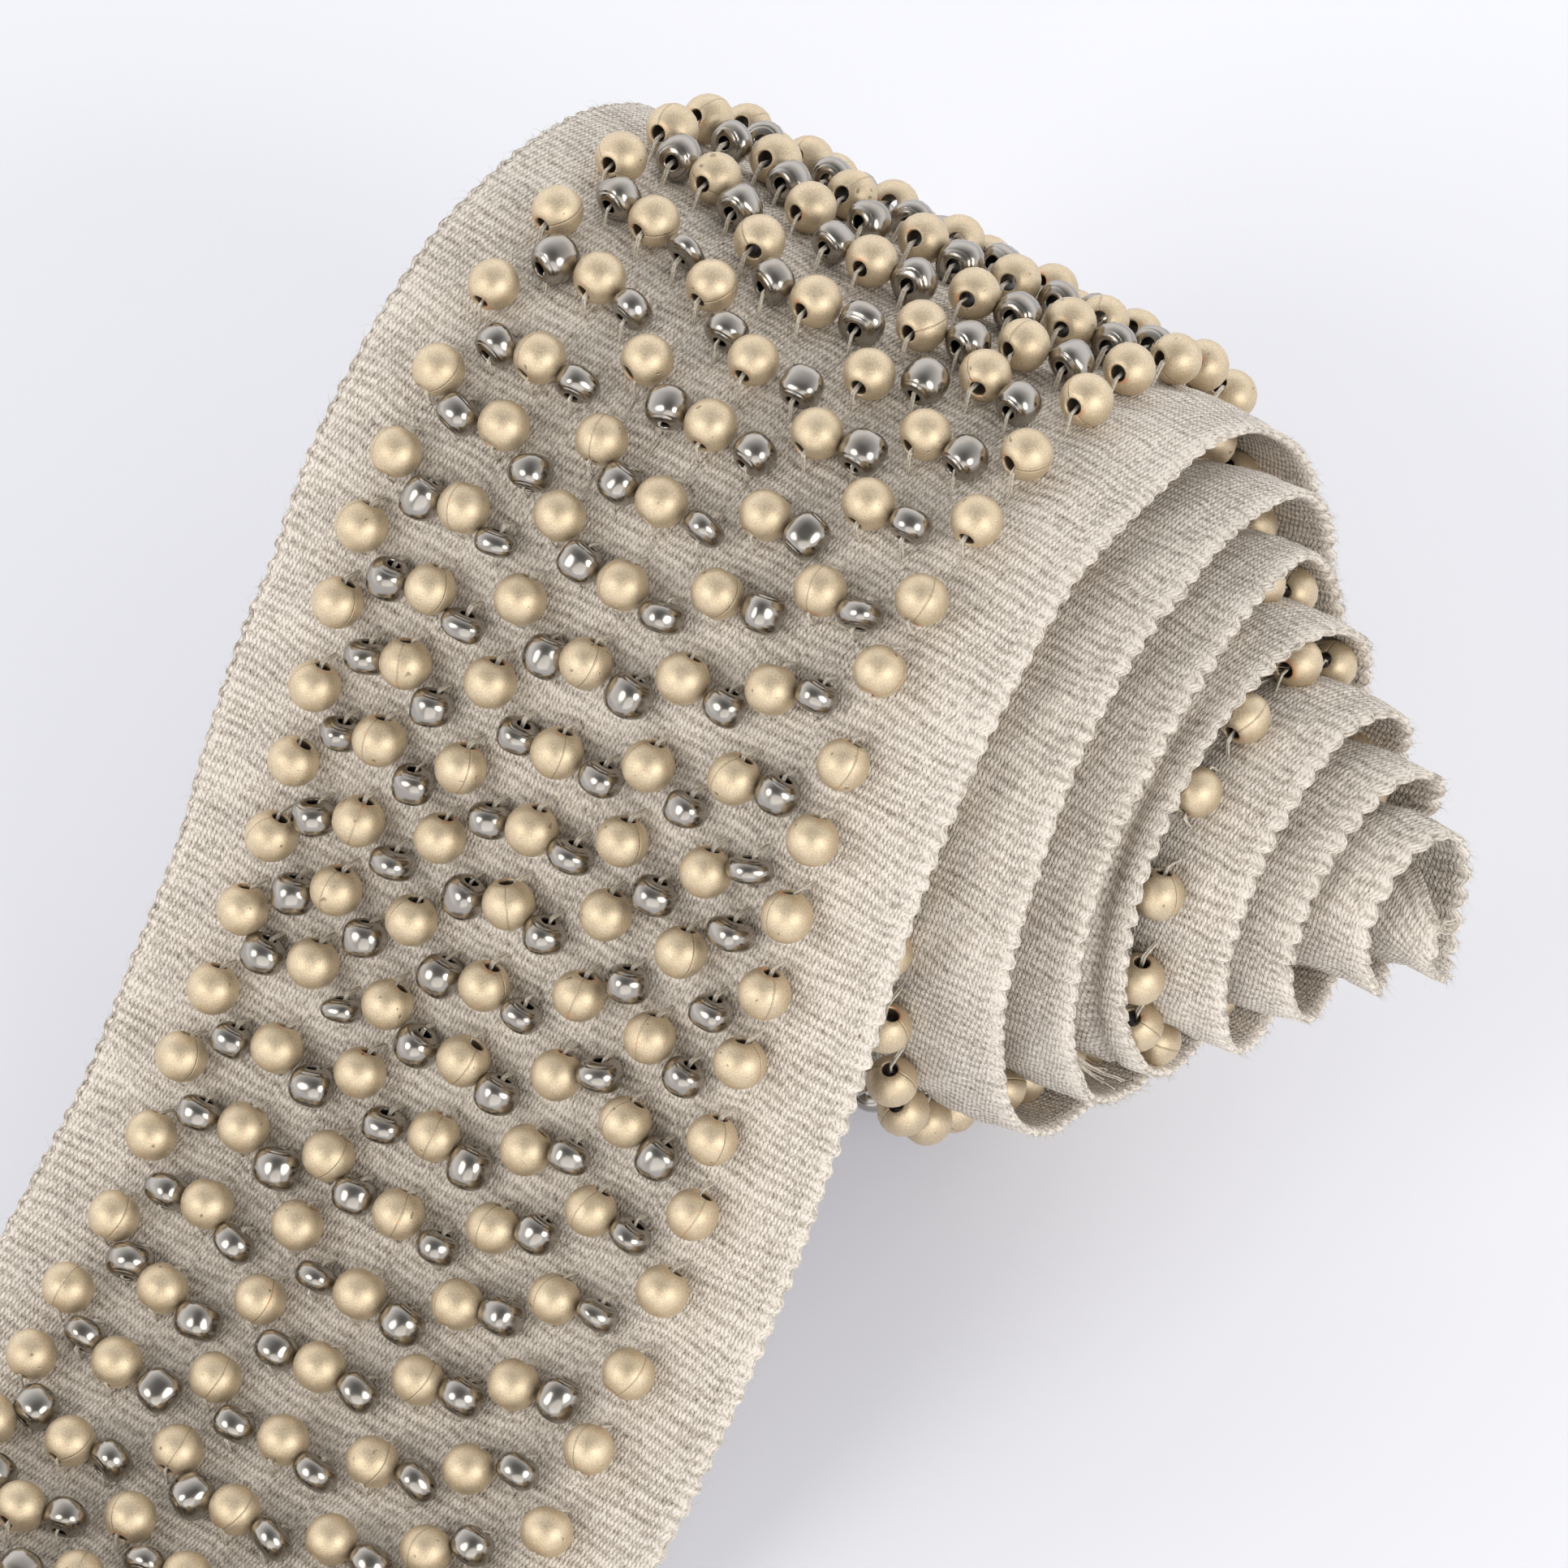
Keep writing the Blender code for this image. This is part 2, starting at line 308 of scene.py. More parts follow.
    def _loose_line(self) -> tuple[np.ndarray, ...]:
        """Trace the loose end: its slope summed along the run, down to the table.

        Returns:
            Run, left selvedge's points, lean of the face and turns, which are nought.
        """
        run = np.arange(0.0, self.loose_length + self.step / 2, self.step)
        knots, degrees = np.array(self.slopes, dtype=float).T
        window = np.hanning(33)
        slope = np.radians(np.interp(run, knots, degrees))
        slope = np.convolve(np.pad(slope, 16, mode="edge"), window / window.sum(), "valid")
        slope *= np.clip(run / 4.0, 0.0, 1.0)
        slope[run > knots[-2]] = 0.0
        mid = (slope[1:] + slope[:-1]) / 2
        y = -np.concatenate([[0.0], np.cumsum(self.step * np.cos(mid))])
        drop = np.concatenate([[0.0], np.cumsum(self.step * np.sin(mid))])
        crown = self._table[0, 4] + self._table[0, 1]
        z = crown - drop * (crown - self.cloth) / drop[-1]
        left = self._table[0, 2] + self.drift * run - self.width
        return run, np.stack([left, y, z], axis=1), -slope, 0.0 * run

    def turn(self, run: np.ndarray) -> np.ndarray:
        """Give the turns wound inwards at each run."""
        return np.interp(run, self._run, self._turn)

    def run_at(self, turns: float | np.ndarray) -> float | np.ndarray:
        """Give the run at places of the roll, by their turns from the crown."""
        roll = self._run <= 0
        return np.interp(turns, self._turn[roll][::-1], self._run[roll][::-1])

    def lean(self, run: np.ndarray) -> np.ndarray:
        """Give the angle of the face's normal from upright, towards the back."""
        return np.interp(run, self._run, self._lean)

    def place(self, run: np.ndarray, across: np.ndarray, height: np.ndarray) -> np.ndarray:
        """Turn places on the band into points of the frame.

        Args:
            run: distance along the band.
            across: distance from the left selvedge.
            height: height over the beaded face.

        Returns:
            Points in millimetres, with a last axis of three.
        """
        run, across, height = np.broadcast_arrays(run, across, height)
        left, y, z = (np.interp(run, self._run, self._points[:, k]) for k in range(3))
        lean = self.lean(run)
        side, out = self._bent(run, across)
        across, height = across + side, height + out
        return np.stack(
            [left + across, y + height * np.sin(lean), z + height * np.cos(lean)], axis=-1
        )

    def _bent(self, run: np.ndarray, across: np.ndarray) -> tuple[np.ndarray, np.ndarray]:
        """Give the wound band's bend near its right selvedge, sideways and outwards.

        The sideways shift grows evenly towards the selvedge, a flare outwards grows
        as 3t^2 - 2t^3 and a droop inwards as a power of t, each over its own reach.

        Args:
            run: distance along the band.
            across: distance from the left selvedge.

        Returns:
            The shift to the right and the shift out of the face.
        """
        turns = self.turn(run)
        part = np.arange(361) / 360
        side, out = (np.interp(turns % 1.0, part, v) for v in self._selvedge)
        bell = np.exp(-(((turns % 1.0 - self.ear_place) / self.ear_reach) ** 2))
        side = side + bell * np.interp(turns, *np.array(self.ears).T)
        last, last_side, last_out = np.array(self.tip).T
        is_last = turns > last[0]
        side = np.where(is_last, np.interp(turns, last, last_side), side)
        out = np.where(is_last, np.interp(turns, last, last_out), out)
        out = out * np.where(out > 0, np.interp(turns, [0.5, 0.9], [self.outer_flare, 1.0]), 1.0)
        near = self.width - across
        middle, spread, pull = self.pinch
        side = side + pull * np.exp(-(((turns - middle) / spread) ** 2))
        side = side * np.clip(turns / 0.06, 0, 1) * np.clip(1 - near / self.side_reach, 0, 1)
        slope = self.flare_reach - self.flare_flat
        wide = np.clip((self.flare_reach - near) / slope, 0.0, 1.0)
        wide = wide * wide * (3 - 2 * wide)
        narrow = np.clip(1 - near / self.droop_reach, 0.0, 1.0) ** self.droop_power
        start, over = self.droop_widens
        late = np.clip((turns - start) / over, 0, 1)
        share = np.where(out > 0, wide, narrow + late * (wide - narrow))
        fade = np.exp(-((np.maximum(run, 0.0) / self.crown_fade) ** 2))
        return side, out * share * fade

    def axes(self, run: np.ndarray) -> tuple[np.ndarray, np.ndarray, np.ndarray]:
        """Give the band's own directions at each run.

        Args:
            run: distance along the band.

        Returns:
            Unit vectors across the band, along it and out of its face.
        """
        lean = self.lean(run)
        nought, one = 0 * lean, 0 * lean + 1
        across = np.stack([one, nought, nought], axis=-1)
        along = np.stack([nought, -np.cos(lean), np.sin(lean)], axis=-1)
        out = np.stack([nought, np.sin(lean), np.cos(lean)], axis=-1)
        return across, along, out

    def cut(self, across: np.ndarray) -> np.ndarray:
        """Give how much sooner the raw inner end is cut at places across the band."""
        left = self.width - self.slant_width
        return self.slant * np.clip((across - left) / self.slant_width, 0, 1)

    def cover(self, run: np.ndarray, across: np.ndarray) -> np.ndarray:
        """Give the room over the face, up to the cloth of the turn outside it.

        Args:
            run: distance along the band.
            across: distance from the left selvedge.

        Returns:
            The room, or OPEN where nothing lies over the place.
        """
        turns = self.turn(run)
        outer = self.radius(turns - 1.0) - self.cloth
        room = np.where(turns > 0.8, outer - self.radius(turns), OPEN)
        x = self.right_edge(turns) - self.width + across
        past = x > self.right_edge(turns - 1.0) - 0.6
        return np.where(past & (turns > 1.0), OPEN, room)

    def lid(self, run: np.ndarray, across: np.ndarray) -> np.ndarray:
        """Give the height over the face of the outer turn's own face, bend included.

        Args:
            run: distance along the band.
            across: distance from the left selvedge.

        Returns:
            The height, or OPEN where nothing lies over the place.
        """
        turns = self.turn(run)
        over = self.right_edge(turns) + across - self.right_edge(turns - 1.0)
        _, out = self._bent(self.run_at(turns - 1.0), over)
        height = self.radius(turns - 1.0) + out - self.radius(turns)
        return np.where((turns > 1.0) & (over < self.width), height, OPEN)


def smooth_noise(runs: np.ndarray, length: float, rng: np.random.Generator) -> np.ndarray:
    """Make a smooth random curve over a line of places.

    Args:
        runs: the places.
        length: the distance over which the curve changes.
        rng: the seeded source of numbers.

    Returns:
        Values of about -1 to 1.
    """
    knots = np.arange(runs.min() - length, runs.max() + 2 * length, length)
    values = rng.uniform(-1, 1, len(knots))
    t = (runs - knots[0]) / length
    i = np.clip(t.astype(int), 0, len(knots) - 2)
    f = t - i
    f = f * f * (3 - 2 * f)
    return values[i] * (1 - f) + values[i + 1] * f


@dataclass
class Shape:
    """Vertices, faces and values of one piece, gathered before it is made.

    Attributes:
        points: the vertices, in millimetres.
        faces: arrays of faces, each with as many vertices a face as it has columns.
        uvs: a place on the band for each corner, one array for each array of faces.
        floats: values for each vertex, by name.
        vectors: vectors for each vertex, by name.
    """

    points: np.ndarray
    faces: list[np.ndarray]
    uvs: list[np.ndarray] = field(default_factory=list)
    floats: dict[str, np.ndarray] = field(default_factory=dict)
    vectors: dict[str, np.ndarray] = field(default_factory=dict)

    def make(self, name: str, material: bpy.types.Material) -> bpy.types.Object:
        """Make the piece and let it ride on the body.

        Args:
            name: the piece's name.
            material: its finish.

        Returns:
            The new object, at the origin.
        """
        mesh = bpy.data.meshes.new(name)
        mesh.vertices.add(len(self.points))
        mesh.vertices.foreach_set("co", (self.points * MM).astype(np.float32).ravel())
        corners = np.concatenate([f.ravel() for f in self.faces])
        sizes = np.concatenate([np.full(len(f), f.shape[1]) for f in self.faces])
        mesh.loops.add(len(corners))
        mesh.loops.foreach_set("vertex_index", corners.astype(np.int32))
        mesh.polygons.add(len(sizes))
        starts = np.concatenate([[0], np.cumsum(sizes)[:-1]])
        mesh.polygons.foreach_set("loop_start", starts.astype(np.int32))
        mesh.polygons.foreach_set("use_smooth", np.ones(len(sizes), dtype=bool))
        mesh.update(calc_edges=True)
        if self.uvs:
            layer = mesh.uv_layers.new(name="band")
            flat = np.concatenate([uv.reshape(-1, 2) for uv in self.uvs])
            layer.data.foreach_set("uv", flat.astype(np.float32).ravel())
        for key, values in self.floats.items():
            mesh.attributes.new(key, "FLOAT", "POINT").data.foreach_set(
                "value", values.astype(np.float32)
            )
        for key, values in self.vectors.items():
            mesh.attributes.new(key, "FLOAT_VECTOR", "POINT").data.foreach_set(
                "vector", values.astype(np.float32).ravel()
            )
        mesh.materials.append(material)
        piece = bpy.data.objects.new(name, mesh)
        bpy.context.scene.collection.objects.link(piece)
        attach(piece, BODY)
        return piece


class Graph:
    """Short ways to lay out a material's nodes."""

    def __init__(self, name: str) -> None:
        """Start a material with its Principled shader.

        Args:
            name: the material's name.
        """
        self.material = bpy.data.materials.new(name)
        self.material.use_nodes = True
        self.tree = self.material.node_tree
        self.shader = self.tree.nodes["Principled BSDF"]

    def node(self, kind: str, **inputs: object) -> bpy.types.Node:
        """Add a node and fill its inputs.

        Args:
            kind: the node's type.
            inputs: sockets or values, by the input's name.

        Returns:
            The node.
        """
        made = self.tree.nodes.new(kind)
        for name, value in inputs.items():
            self.feed(made.inputs[name], value)
        return made

    def feed(self, socket: bpy.types.NodeSocket, value: object) -> None:
        """Join a socket to an input, or set the input's own value.

        Args:
            socket: the input.
            value: another node's output, or a plain value.
        """
        if isinstance(value, bpy.types.NodeSocket):
            self.tree.links.new(value, socket)
        else:
            socket.default_value = value

    def math(self, operation: str, *values: object) -> bpy.types.NodeSocket:
        """Work out one sum on sockets or numbers.

        Args:
            operation: the sum, as the Math node names it.
            values: what it is worked out on.

        Returns:
            The result.
        """
        made = self.tree.nodes.new("ShaderNodeMath")
        made.operation = operation
        for socket, value in zip(made.inputs, values):
            self.feed(socket, value)
        return made.outputs[0]

    def add(self, a: object, b: object) -> bpy.types.NodeSocket:
        """Add two values."""
        return self.math("ADD", a, b)

    def times(self, a: object, b: object) -> bpy.types.NodeSocket:
        """Multiply two values."""
        return self.math("MULTIPLY", a, b)

    def ramp(self, value: object, low: float, high: float) -> bpy.types.NodeSocket:
        """Ease a value from nought at one place to one at another.

        Args:
            value: the value.
            low: where it gives nought.
            high: where it gives one.

        Returns:
            The eased value.
        """
        made = self.tree.nodes.new("ShaderNodeMapRange")
        made.interpolation_type = "SMOOTHSTEP"
        self.feed(made.inputs["Value"], value)
        self.feed(made.inputs["From Min"], low)
        self.feed(made.inputs["From Max"], high)
        return made.outputs["Result"]

    def bell(self, value: object) -> bpy.types.NodeSocket:
        """Shape a value's fraction into a hump: 1 - (2f - 1)^2."""
        part = self.math("MULTIPLY_ADD", self.math("FRACT", value), 2.0, -1.0)
        return self.math("MULTIPLY_ADD", self.times(part, part), -1.0, 1.0)

    def join(self, x: object, y: object, z: object = 0.0) -> bpy.types.NodeSocket:
        """Put three values into a vector.

        Args:
            x: the first.
            y: the second.
            z: the third.

        Returns:
            The vector.
        """
        made = self.tree.nodes.new("ShaderNodeCombineXYZ")
        for socket, value in zip(made.inputs, (x, y, z)):
            self.feed(socket, value)
        return made.outputs[0]

    def split(self, vector: object) -> list[bpy.types.NodeSocket]:
        """Take a vector apart into its three values."""
        return list(self.node("ShaderNodeSeparateXYZ", Vector=vector).outputs)

    def moved(self, place: object, share: object, x: float, y: float) -> bpy.types.NodeSocket:
        """Move a place by a share of a step, so that each bead has its own noise.

        Args:
            place: the place.
            share: the share of the step.
            x: the step's first length.
            y: its second length.

        Returns:
            The moved place.
        """
        made = self.tree.nodes.new("ShaderNodeVectorMath")
        self.feed(made.inputs[0], place)
        self.feed(made.inputs[1], self.join(self.times(share, x), self.times(share, y)))
        return made.outputs[0]

    def noise(self, place: object, scale: float, detail: float = 2.0) -> bpy.types.NodeSocket:
        """Give smooth noise of about 0.3 to 0.7 at a place."""
        made = self.node("ShaderNodeTexNoise", Vector=place, Scale=scale, Detail=detail)
        return made.outputs["Fac"]

    def scatter(self, place: object) -> bpy.types.NodeSocket:
        """Give one even random value for each place.

        Args:
            place: the place.

        Returns:
            A value from nought to one.
        """
        made = self.tree.nodes.new("ShaderNodeTexWhiteNoise")
        made.noise_dimensions = "3D"
        self.feed(made.inputs["Vector"], place)
        return made.outputs["Value"]

    def mix(self, share: object, a: object, b: object) -> bpy.types.NodeSocket:
        """Blend two colours.

        Args:
            share: the second colour's share.
            a: the first colour.
            b: the second colour.

        Returns:
            The blend.
        """
        made = self.tree.nodes.new("ShaderNodeMix")
        made.data_type = "RGBA"
        self.feed(made.inputs[0], share)
        self.feed(made.inputs[6], a)
        self.feed(made.inputs[7], b)
        return made.outputs[2]

    def attribute(self, name: str, output: str = "Fac") -> bpy.types.NodeSocket:
        """Read a value that the mesh carries.

        Args:
            name: the value's name.
            output: Fac for a number, Vector for a vector.

        Returns:
            The value.
        """
        made = self.tree.nodes.new("ShaderNodeAttribute")
        made.attribute_name = name
        return made.outputs[output]

    def bump(self, height: object) -> None:
        """Let the shader's normal follow a height given in millimetres."""
        made = self.node("ShaderNodeBump", Height=height, Strength=1.0, Distance=MM)
        self.tree.links.new(made.outputs["Normal"], self.shader.inputs["Normal"])

    def finish(self, **inputs: object) -> bpy.types.Material:
        """Fill the shader's inputs and hand over the material.

        Args:
            inputs: sockets or values, by the input's name with _ for each space.

        Returns:
            The material.
        """
        for name, value in inputs.items():
            self.feed(self.shader.inputs[name.replace("_", " ")], value)
        return self.material


def rgb(red: float, green: float, blue: float) -> tuple[float, float, float, float]:
    """Turn a colour as it is seen into the shader's linear one.

    Args:
        red: from 0 to 255.
        green: from 0 to 255.
        blue: from 0 to 255.

    Returns:
        Red, green, blue and an alpha of 1.
    """
    parts = [c / 255 for c in (red, green, blue)]
    linear = [c / 12.92 if c < 0.04 else ((c + 0.055) / 1.055) ** 2.4 for c in parts]
    return (*linear, 1.0)


@dataclass(frozen=True)
class LinenFinish:
    """Greige linen, woven in ribs across the band.

    Attributes:
        light: colour of the yarns' tops, their own tone with a painted highlight.
        middle: colour of their flanks.
        dark: colour between the yarns, painted shade in the gaps.
        rib: distance from rib to rib along the band.
        yarn: distance from yarn to yarn across a rib.
        half_length: half a lens's length, as a share of the rib.
        second_row: strength of the fainter lenses.
        lean: how far a lens leans, as a share of the yarn's width.
        line: distance from bead thread to bead thread.
        first_line: the first bead thread, from the left selvedge.
        border: where the selvedge's own weave begins.
        right_rim: where the right selvedge's fringe starts and is full.
        left_rim: where the left selvedge's fringe starts and is full.
        underside: girth at which the cloth's underside starts and is full; the underside
        is painted darker, as painted shade.
        fluff: how strongly the fluff hides the weave.
        weave_share: what the weave adds to the shade.
        rib_share: what the ribs add, their middles painted lighter and their valleys
        darker as painted shade.
        noises: for each unevenness of the shade, its scale across and along the
            band, its place in the noise, the noise's detail and what it adds.
    """

    light: tuple[float, ...] = rgb(236, 227, 215)
    middle: tuple[float, ...] = rgb(188, 178, 165)
    dark: tuple[float, ...] = rgb(114, 102, 90)
    rib: float = 0.985
    yarn: float = 0.36
    half_length: float = 0.38
    second_row: float = 0.82
    lean: float = 0.22
    line: float = 3.8
    first_line: float = 7.8
    border: float = 59.7
    right_rim: tuple[float, float] = (61.0, 61.9)
    left_rim: tuple[float, float] = (1.3, 0.5)
    underside: tuple[float, float] = (63.4, 64.2)
    fluff: float = 0.62
    weave_share: float = 0.78
    rib_share: float = 0.36
    noises: tuple[tuple[float, float, float, float, float], ...] = (
        # heather, cloud, speck and grain
        (0.22, 0.85, 0.0, 3.0, 0.8),
        (0.07, 0.13, 5.0, 2.0, 0.5),
        (2.2, 1.6, 9.0, 1.0, 1.0),
        (6.5, 4.0, 2.0, 2.0, 1.3),
    )

    def _lenses(
        self, g: Graph, row: object, column: object, offset: float
    ) -> bpy.types.NodeSocket:
        """Lay out the lenses of every other row, each of its own strength.

        A lens is 1 - (2f - 1)^2 - (p / half)^2, where f is the part of a yarn's
        place across and p the place along from the row's middle.  Counting both
        kinds, each row sits a quarter of a yarn to the left of the last one, and
        its lenses lean a little to the right.

        Args:
            g: the material's nodes.
            row: place along the band in ribs.
            column: place across the band in yarns.
            offset: 0 for the rows on ribs, 0.5 for those between ribs.

        Returns:
            The lenses' strength.
        """
        r = g.add(row, offset)
        index = g.math("FLOOR", r)
        part = g.math("SUBTRACT", g.math("FRACT", r), 0.5)
        slant = g.math("MULTIPLY_ADD", part, -self.lean, -0.5 * offset)
        c = g.add(column, g.math("MULTIPLY_ADD", index, 0.5, slant))
        chance = g.scatter(g.join(index, g.math("FLOOR", c), offset))
        reach = g.times(part, 1.0 / self.half_length)
        lens = g.math("SUBTRACT", g.bell(c), g.times(reach, reach))
        return g.times(g.ramp(lens, -0.15, 0.90), g.math("MULTIPLY_ADD", chance, 0.5, 0.7))

    def _grid(self, g: Graph, across: object, run: object) -> tuple[object, object]:
        """Count ribs along the band and yarns across it, both a little uneven.

        The ribs are shifted by a chance amount between each two bead threads.

        Args:
            g: the material's nodes.
            across: place across the band.
            run: place along it.

        Returns:
            The place in ribs and the place in yarns.
        """
        panel = g.math("DIVIDE", g.math("SUBTRACT", across, self.first_line), self.line)
        border = g.math("GREATER_THAN", across, self.border)
        panel = g.add(g.math("FLOOR", panel), g.times(border, 20.0))
        shift = g.times(g.math("SUBTRACT", g.scatter(g.join(panel, 3.0)), 0.5), 0.7)
        drift = g.noise(g.join(g.times(across, 0.12), g.times(run, 0.16)), 1.0, 1.0)
        row = g.add(g.add(run, shift), g.times(drift, 1.8))
        sway = g.noise(g.join(g.times(across, 0.5), g.times(run, 0.45), 7.0), 1.0, 2.0)
        column = g.add(across, g.times(sway, 0.36))
        return g.math("DIVIDE", row, self.rib), g.math("DIVIDE", column, self.yarn)

    def make(self, name: str) -> bpy.types.Material:
        """Lay the weave out over the band's own across and run.

        Yarns come up as close-set lenses, a row of them on every rib and a fainter
        row between ribs, their tops painted light as a painted highlight.  The cloth
        is painted dark, as painted shade, where neither a lens nor the fluff that
        lies over parts of the weave reaches.

        Args:
            name: the material's name.

        Returns:
            The material.
        """
        g = Graph(name)
        uv = g.split(g.node("ShaderNodeUVMap").outputs["UV"])
        across, run = uv[0], uv[1]
        row, column = self._grid(g, across, run)
        second = g.times(self._lenses(g, row, column, 0.5), self.second_row)
        weave = g.math("MAXIMUM", self._lenses(g, row, column, 0.0), second)
        fluff = g.noise(g.join(g.times(across, 2.6), g.times(run, 3.4), 4.0), 1.0, 3.0)
        weave = g.math("MAXIMUM", weave, g.times(g.ramp(fluff, 0.43, 0.65), self.fluff))
        under = g.ramp(across, *self.underside)
        selvedge = g.math("SUBTRACT", g.ramp(across, *self.right_rim), under)
        selvedge = g.add(selvedge, g.ramp(across, *self.left_rim))
        fringe = g.math("MULTIPLY_ADD", g.ramp(fluff, 0.36, 0.60), 0.5, 0.2)
        weave = g.math("MAXIMUM", weave, g.times(selvedge, fringe))

        # Painted shade: each rib's middle is painted lighter and its valley darker; the same hump
        # also feeds the bump.
        ribs = g.bell(row)
        shade = g.math("MULTIPLY_ADD", weave, self.weave_share, g.times(ribs, self.rib_share))
        for wide, long, place, detail, share in self.noises:
            spot = g.join(g.times(across, wide), g.times(run, long), place)
            noise = g.noise(spot, 1.0, detail)
            shade = g.add(shade, g.math("MULTIPLY_ADD", noise, share, -0.5 * share))
        shade = g.add(shade, g.math("MULTIPLY_ADD", selvedge, 0.12, -0.03))
        # Painted shade: the underside, seen in the ears and under the turns, is painted darker.
        shade = g.add(shade, g.times(under, -0.16))
        # Painted shade and highlight: the dark colour shades the gaps between yarns, and the light
        # one lights their tops.
        low = g.mix(g.ramp(shade, -0.25, 0.50), self.dark, self.middle)
        colour = g.mix(g.ramp(shade, 0.35, 1.10), low, self.light)

        fibre = g.noise(g.join(g.times(across, 5.0), g.times(run, 2.0)), 1.0, 3.0)
        height = g.math("MULTIPLY_ADD", weave, 0.09, g.times(fibre, 0.08))
        g.bump(g.add(height, g.times(ribs, 0.10)))
        return g.finish(
            Base_Color=colour, Roughness=0.9, Sheen_Weight=0.1, Sheen_Roughness=0.5,
            Specular_IOR_Level=0.2,
        )


@dataclass(frozen=True)
class GoldFinish:
    """Matt gold coat, with a mould seam and copper where it has worn.

    Attributes:
        light: the coat's light flakes.
        dark: its dark flakes.
        copper: what shows where the coat is worn.
        hole: painted shade in a hole and along the seam, and the darker tone of a nick.
        seam: half the seam's width and the width at which it has faded.
        seamless: share of the beads that show no seam.
    """

    light: tuple[float, ...] = rgb(230, 213, 184)
    dark: tuple[float, ...] = rgb(200, 181, 151)
    copper: tuple[float, ...] = rgb(224, 176, 136)
    hole: tuple[float, ...] = rgb(78, 62, 46)
    seam: tuple[float, float] = (0.012, 0.045)
    seamless: float = 0.35

    def make(self, name: str) -> bpy.types.Material:
        """Lay out the coat over each bead's own place, hole along its z.

        Args:
            name: the material's name.

        Returns:
            The material.
        """
        g = Graph(name)
        local = g.attribute("local", "Vector")
        bead = g.attribute("tone")
        place = g.moved(local, bead, 37.0, 91.0)
        flakes = g.noise(place, 24.0, 2.0)
        mottle = g.add(flakes, g.times(g.noise(place, 1.3, 1.0), 0.25))
        colour = g.mix(g.ramp(mottle, 0.45, 0.85), self.dark, self.light)

        wobble = g.times(g.math("SUBTRACT", g.noise(place, 7.0, 2.0), 0.5), 0.05)
        line = g.add(g.math("ABSOLUTE", g.split(local)[1]), wobble)
        seamed = g.math("GREATER_THAN", bead, self.seamless)
        seam = g.times(g.ramp(line, self.seam[1], self.seam[0]), seamed)
        patch = g.ramp(g.noise(place, 1.7, 3.0), 0.56, 0.66)
        worn = g.times(g.math("MAXIMUM", g.attribute("rim"), seam), patch)
        colour = g.mix(worn, colour, self.copper)

        # Painted shade along the seam line where the coat is not worn; nicks are darkened too.
        line_shade = g.times(seam, g.math("SUBTRACT", 0.26, g.times(patch, 0.26)))
        nick = g.ramp(g.noise(place, 2.6, 1.0), 0.26, 0.21)
        colour = g.mix(g.math("MAXIMUM", g.times(nick, 0.5), line_shade), colour, self.hole)
        # Painted shade: the hole's wall is painted with the hole colour.
        deep = g.attribute("deep")
        colour = g.mix(deep, colour, self.hole)
        height = g.add(g.times(flakes, 0.016), g.times(seam, -0.04))
        g.bump(g.add(height, g.times(nick, -0.04)))
        rough = g.math("MULTIPLY_ADD", flakes, 0.20, 0.37)
        metal = g.math("MULTIPLY_ADD", deep, -0.7, 0.78)
        return g.finish(Base_Color=colour, Roughness=rough, Metallic=metal)


@dataclass(frozen=True)
class GunmetalFinish:
    """Mirror-bright gunmetal coat on moulded glass.

    Attributes:
        coat: the coat's own colour.
        brown: the colour of its patches and rims.
        hole: the hole's inside, painted dark as painted shade.
        lip: where the moulded line near an end runs, as a share of the radius.
    """

    coat: tuple[float, ...] = rgb(164, 159, 152)
    brown: tuple[float, ...] = rgb(138, 118, 92)
    hole: tuple[float, ...] = rgb(30, 27, 24)
    lip: float = 0.66

    def make(self, name: str) -> bpy.types.Material:
        """Lay out the coat, browner in patches, over each bead's own place.

        Args:
            name: the material's name.

        Returns:
            The material.
        """
        g = Graph(name)
        local = g.attribute("local", "Vector")
        place = g.moved(local, g.attribute("tone"), 53.0, 29.0)
        patch = g.ramp(g.noise(place, 1.1, 2.0), 0.52, 0.75)
        share = g.math("MAXIMUM", g.times(patch, 0.20), g.times(g.attribute("rim"), 0.25))
        colour = g.mix(share, self.coat, self.brown)
        # Painted shade: the hole's wall is painted with the hole colour.
        deep = g.attribute("deep")
        colour = g.mix(deep, colour, self.hole)
        dent = g.add(g.times(g.noise(place, 1.1, 0.0), 0.08), g.times(g.noise(place, 6.0), 0.004))
        level = g.math("SUBTRACT", g.math("ABSOLUTE", g.split(local)[2]), self.lip)
        groove = g.ramp(g.math("ABSOLUTE", level), 0.06, 0.0)
        g.bump(g.add(dent, g.times(groove, -0.03)))
        rough = g.math("MULTIPLY_ADD", deep, 0.4, 0.19)
        return g.finish(Base_Color=colour, Roughness=rough, Metallic=1.0)


@dataclass(frozen=True)
class ThreadFinish:
    """Pale sewing thread and loose linen fibre.

    Attributes:
        colour: the thread's light tone.
        shade: its dark tone.
    """

    colour: tuple[float, ...] = rgb(226, 218, 204)
    shade: tuple[float, ...] = rgb(190, 180, 164)

    def make(self, name: str) -> bpy.types.Material:
        """Lay out the thread's twist as a fine change of tone.

        Args:
            name: the material's name.

        Returns:
            The material.
        """
        g = Graph(name)
        place = g.node("ShaderNodeTexCoord").outputs["Object"]
        twist = g.noise(place, 6000.0, 1.0)
        colour = g.mix(g.ramp(twist, 0.35, 0.65), self.shade, self.colour)
        return g.finish(Base_Color=colour, Roughness=0.6, Sheen_Weight=0.1)


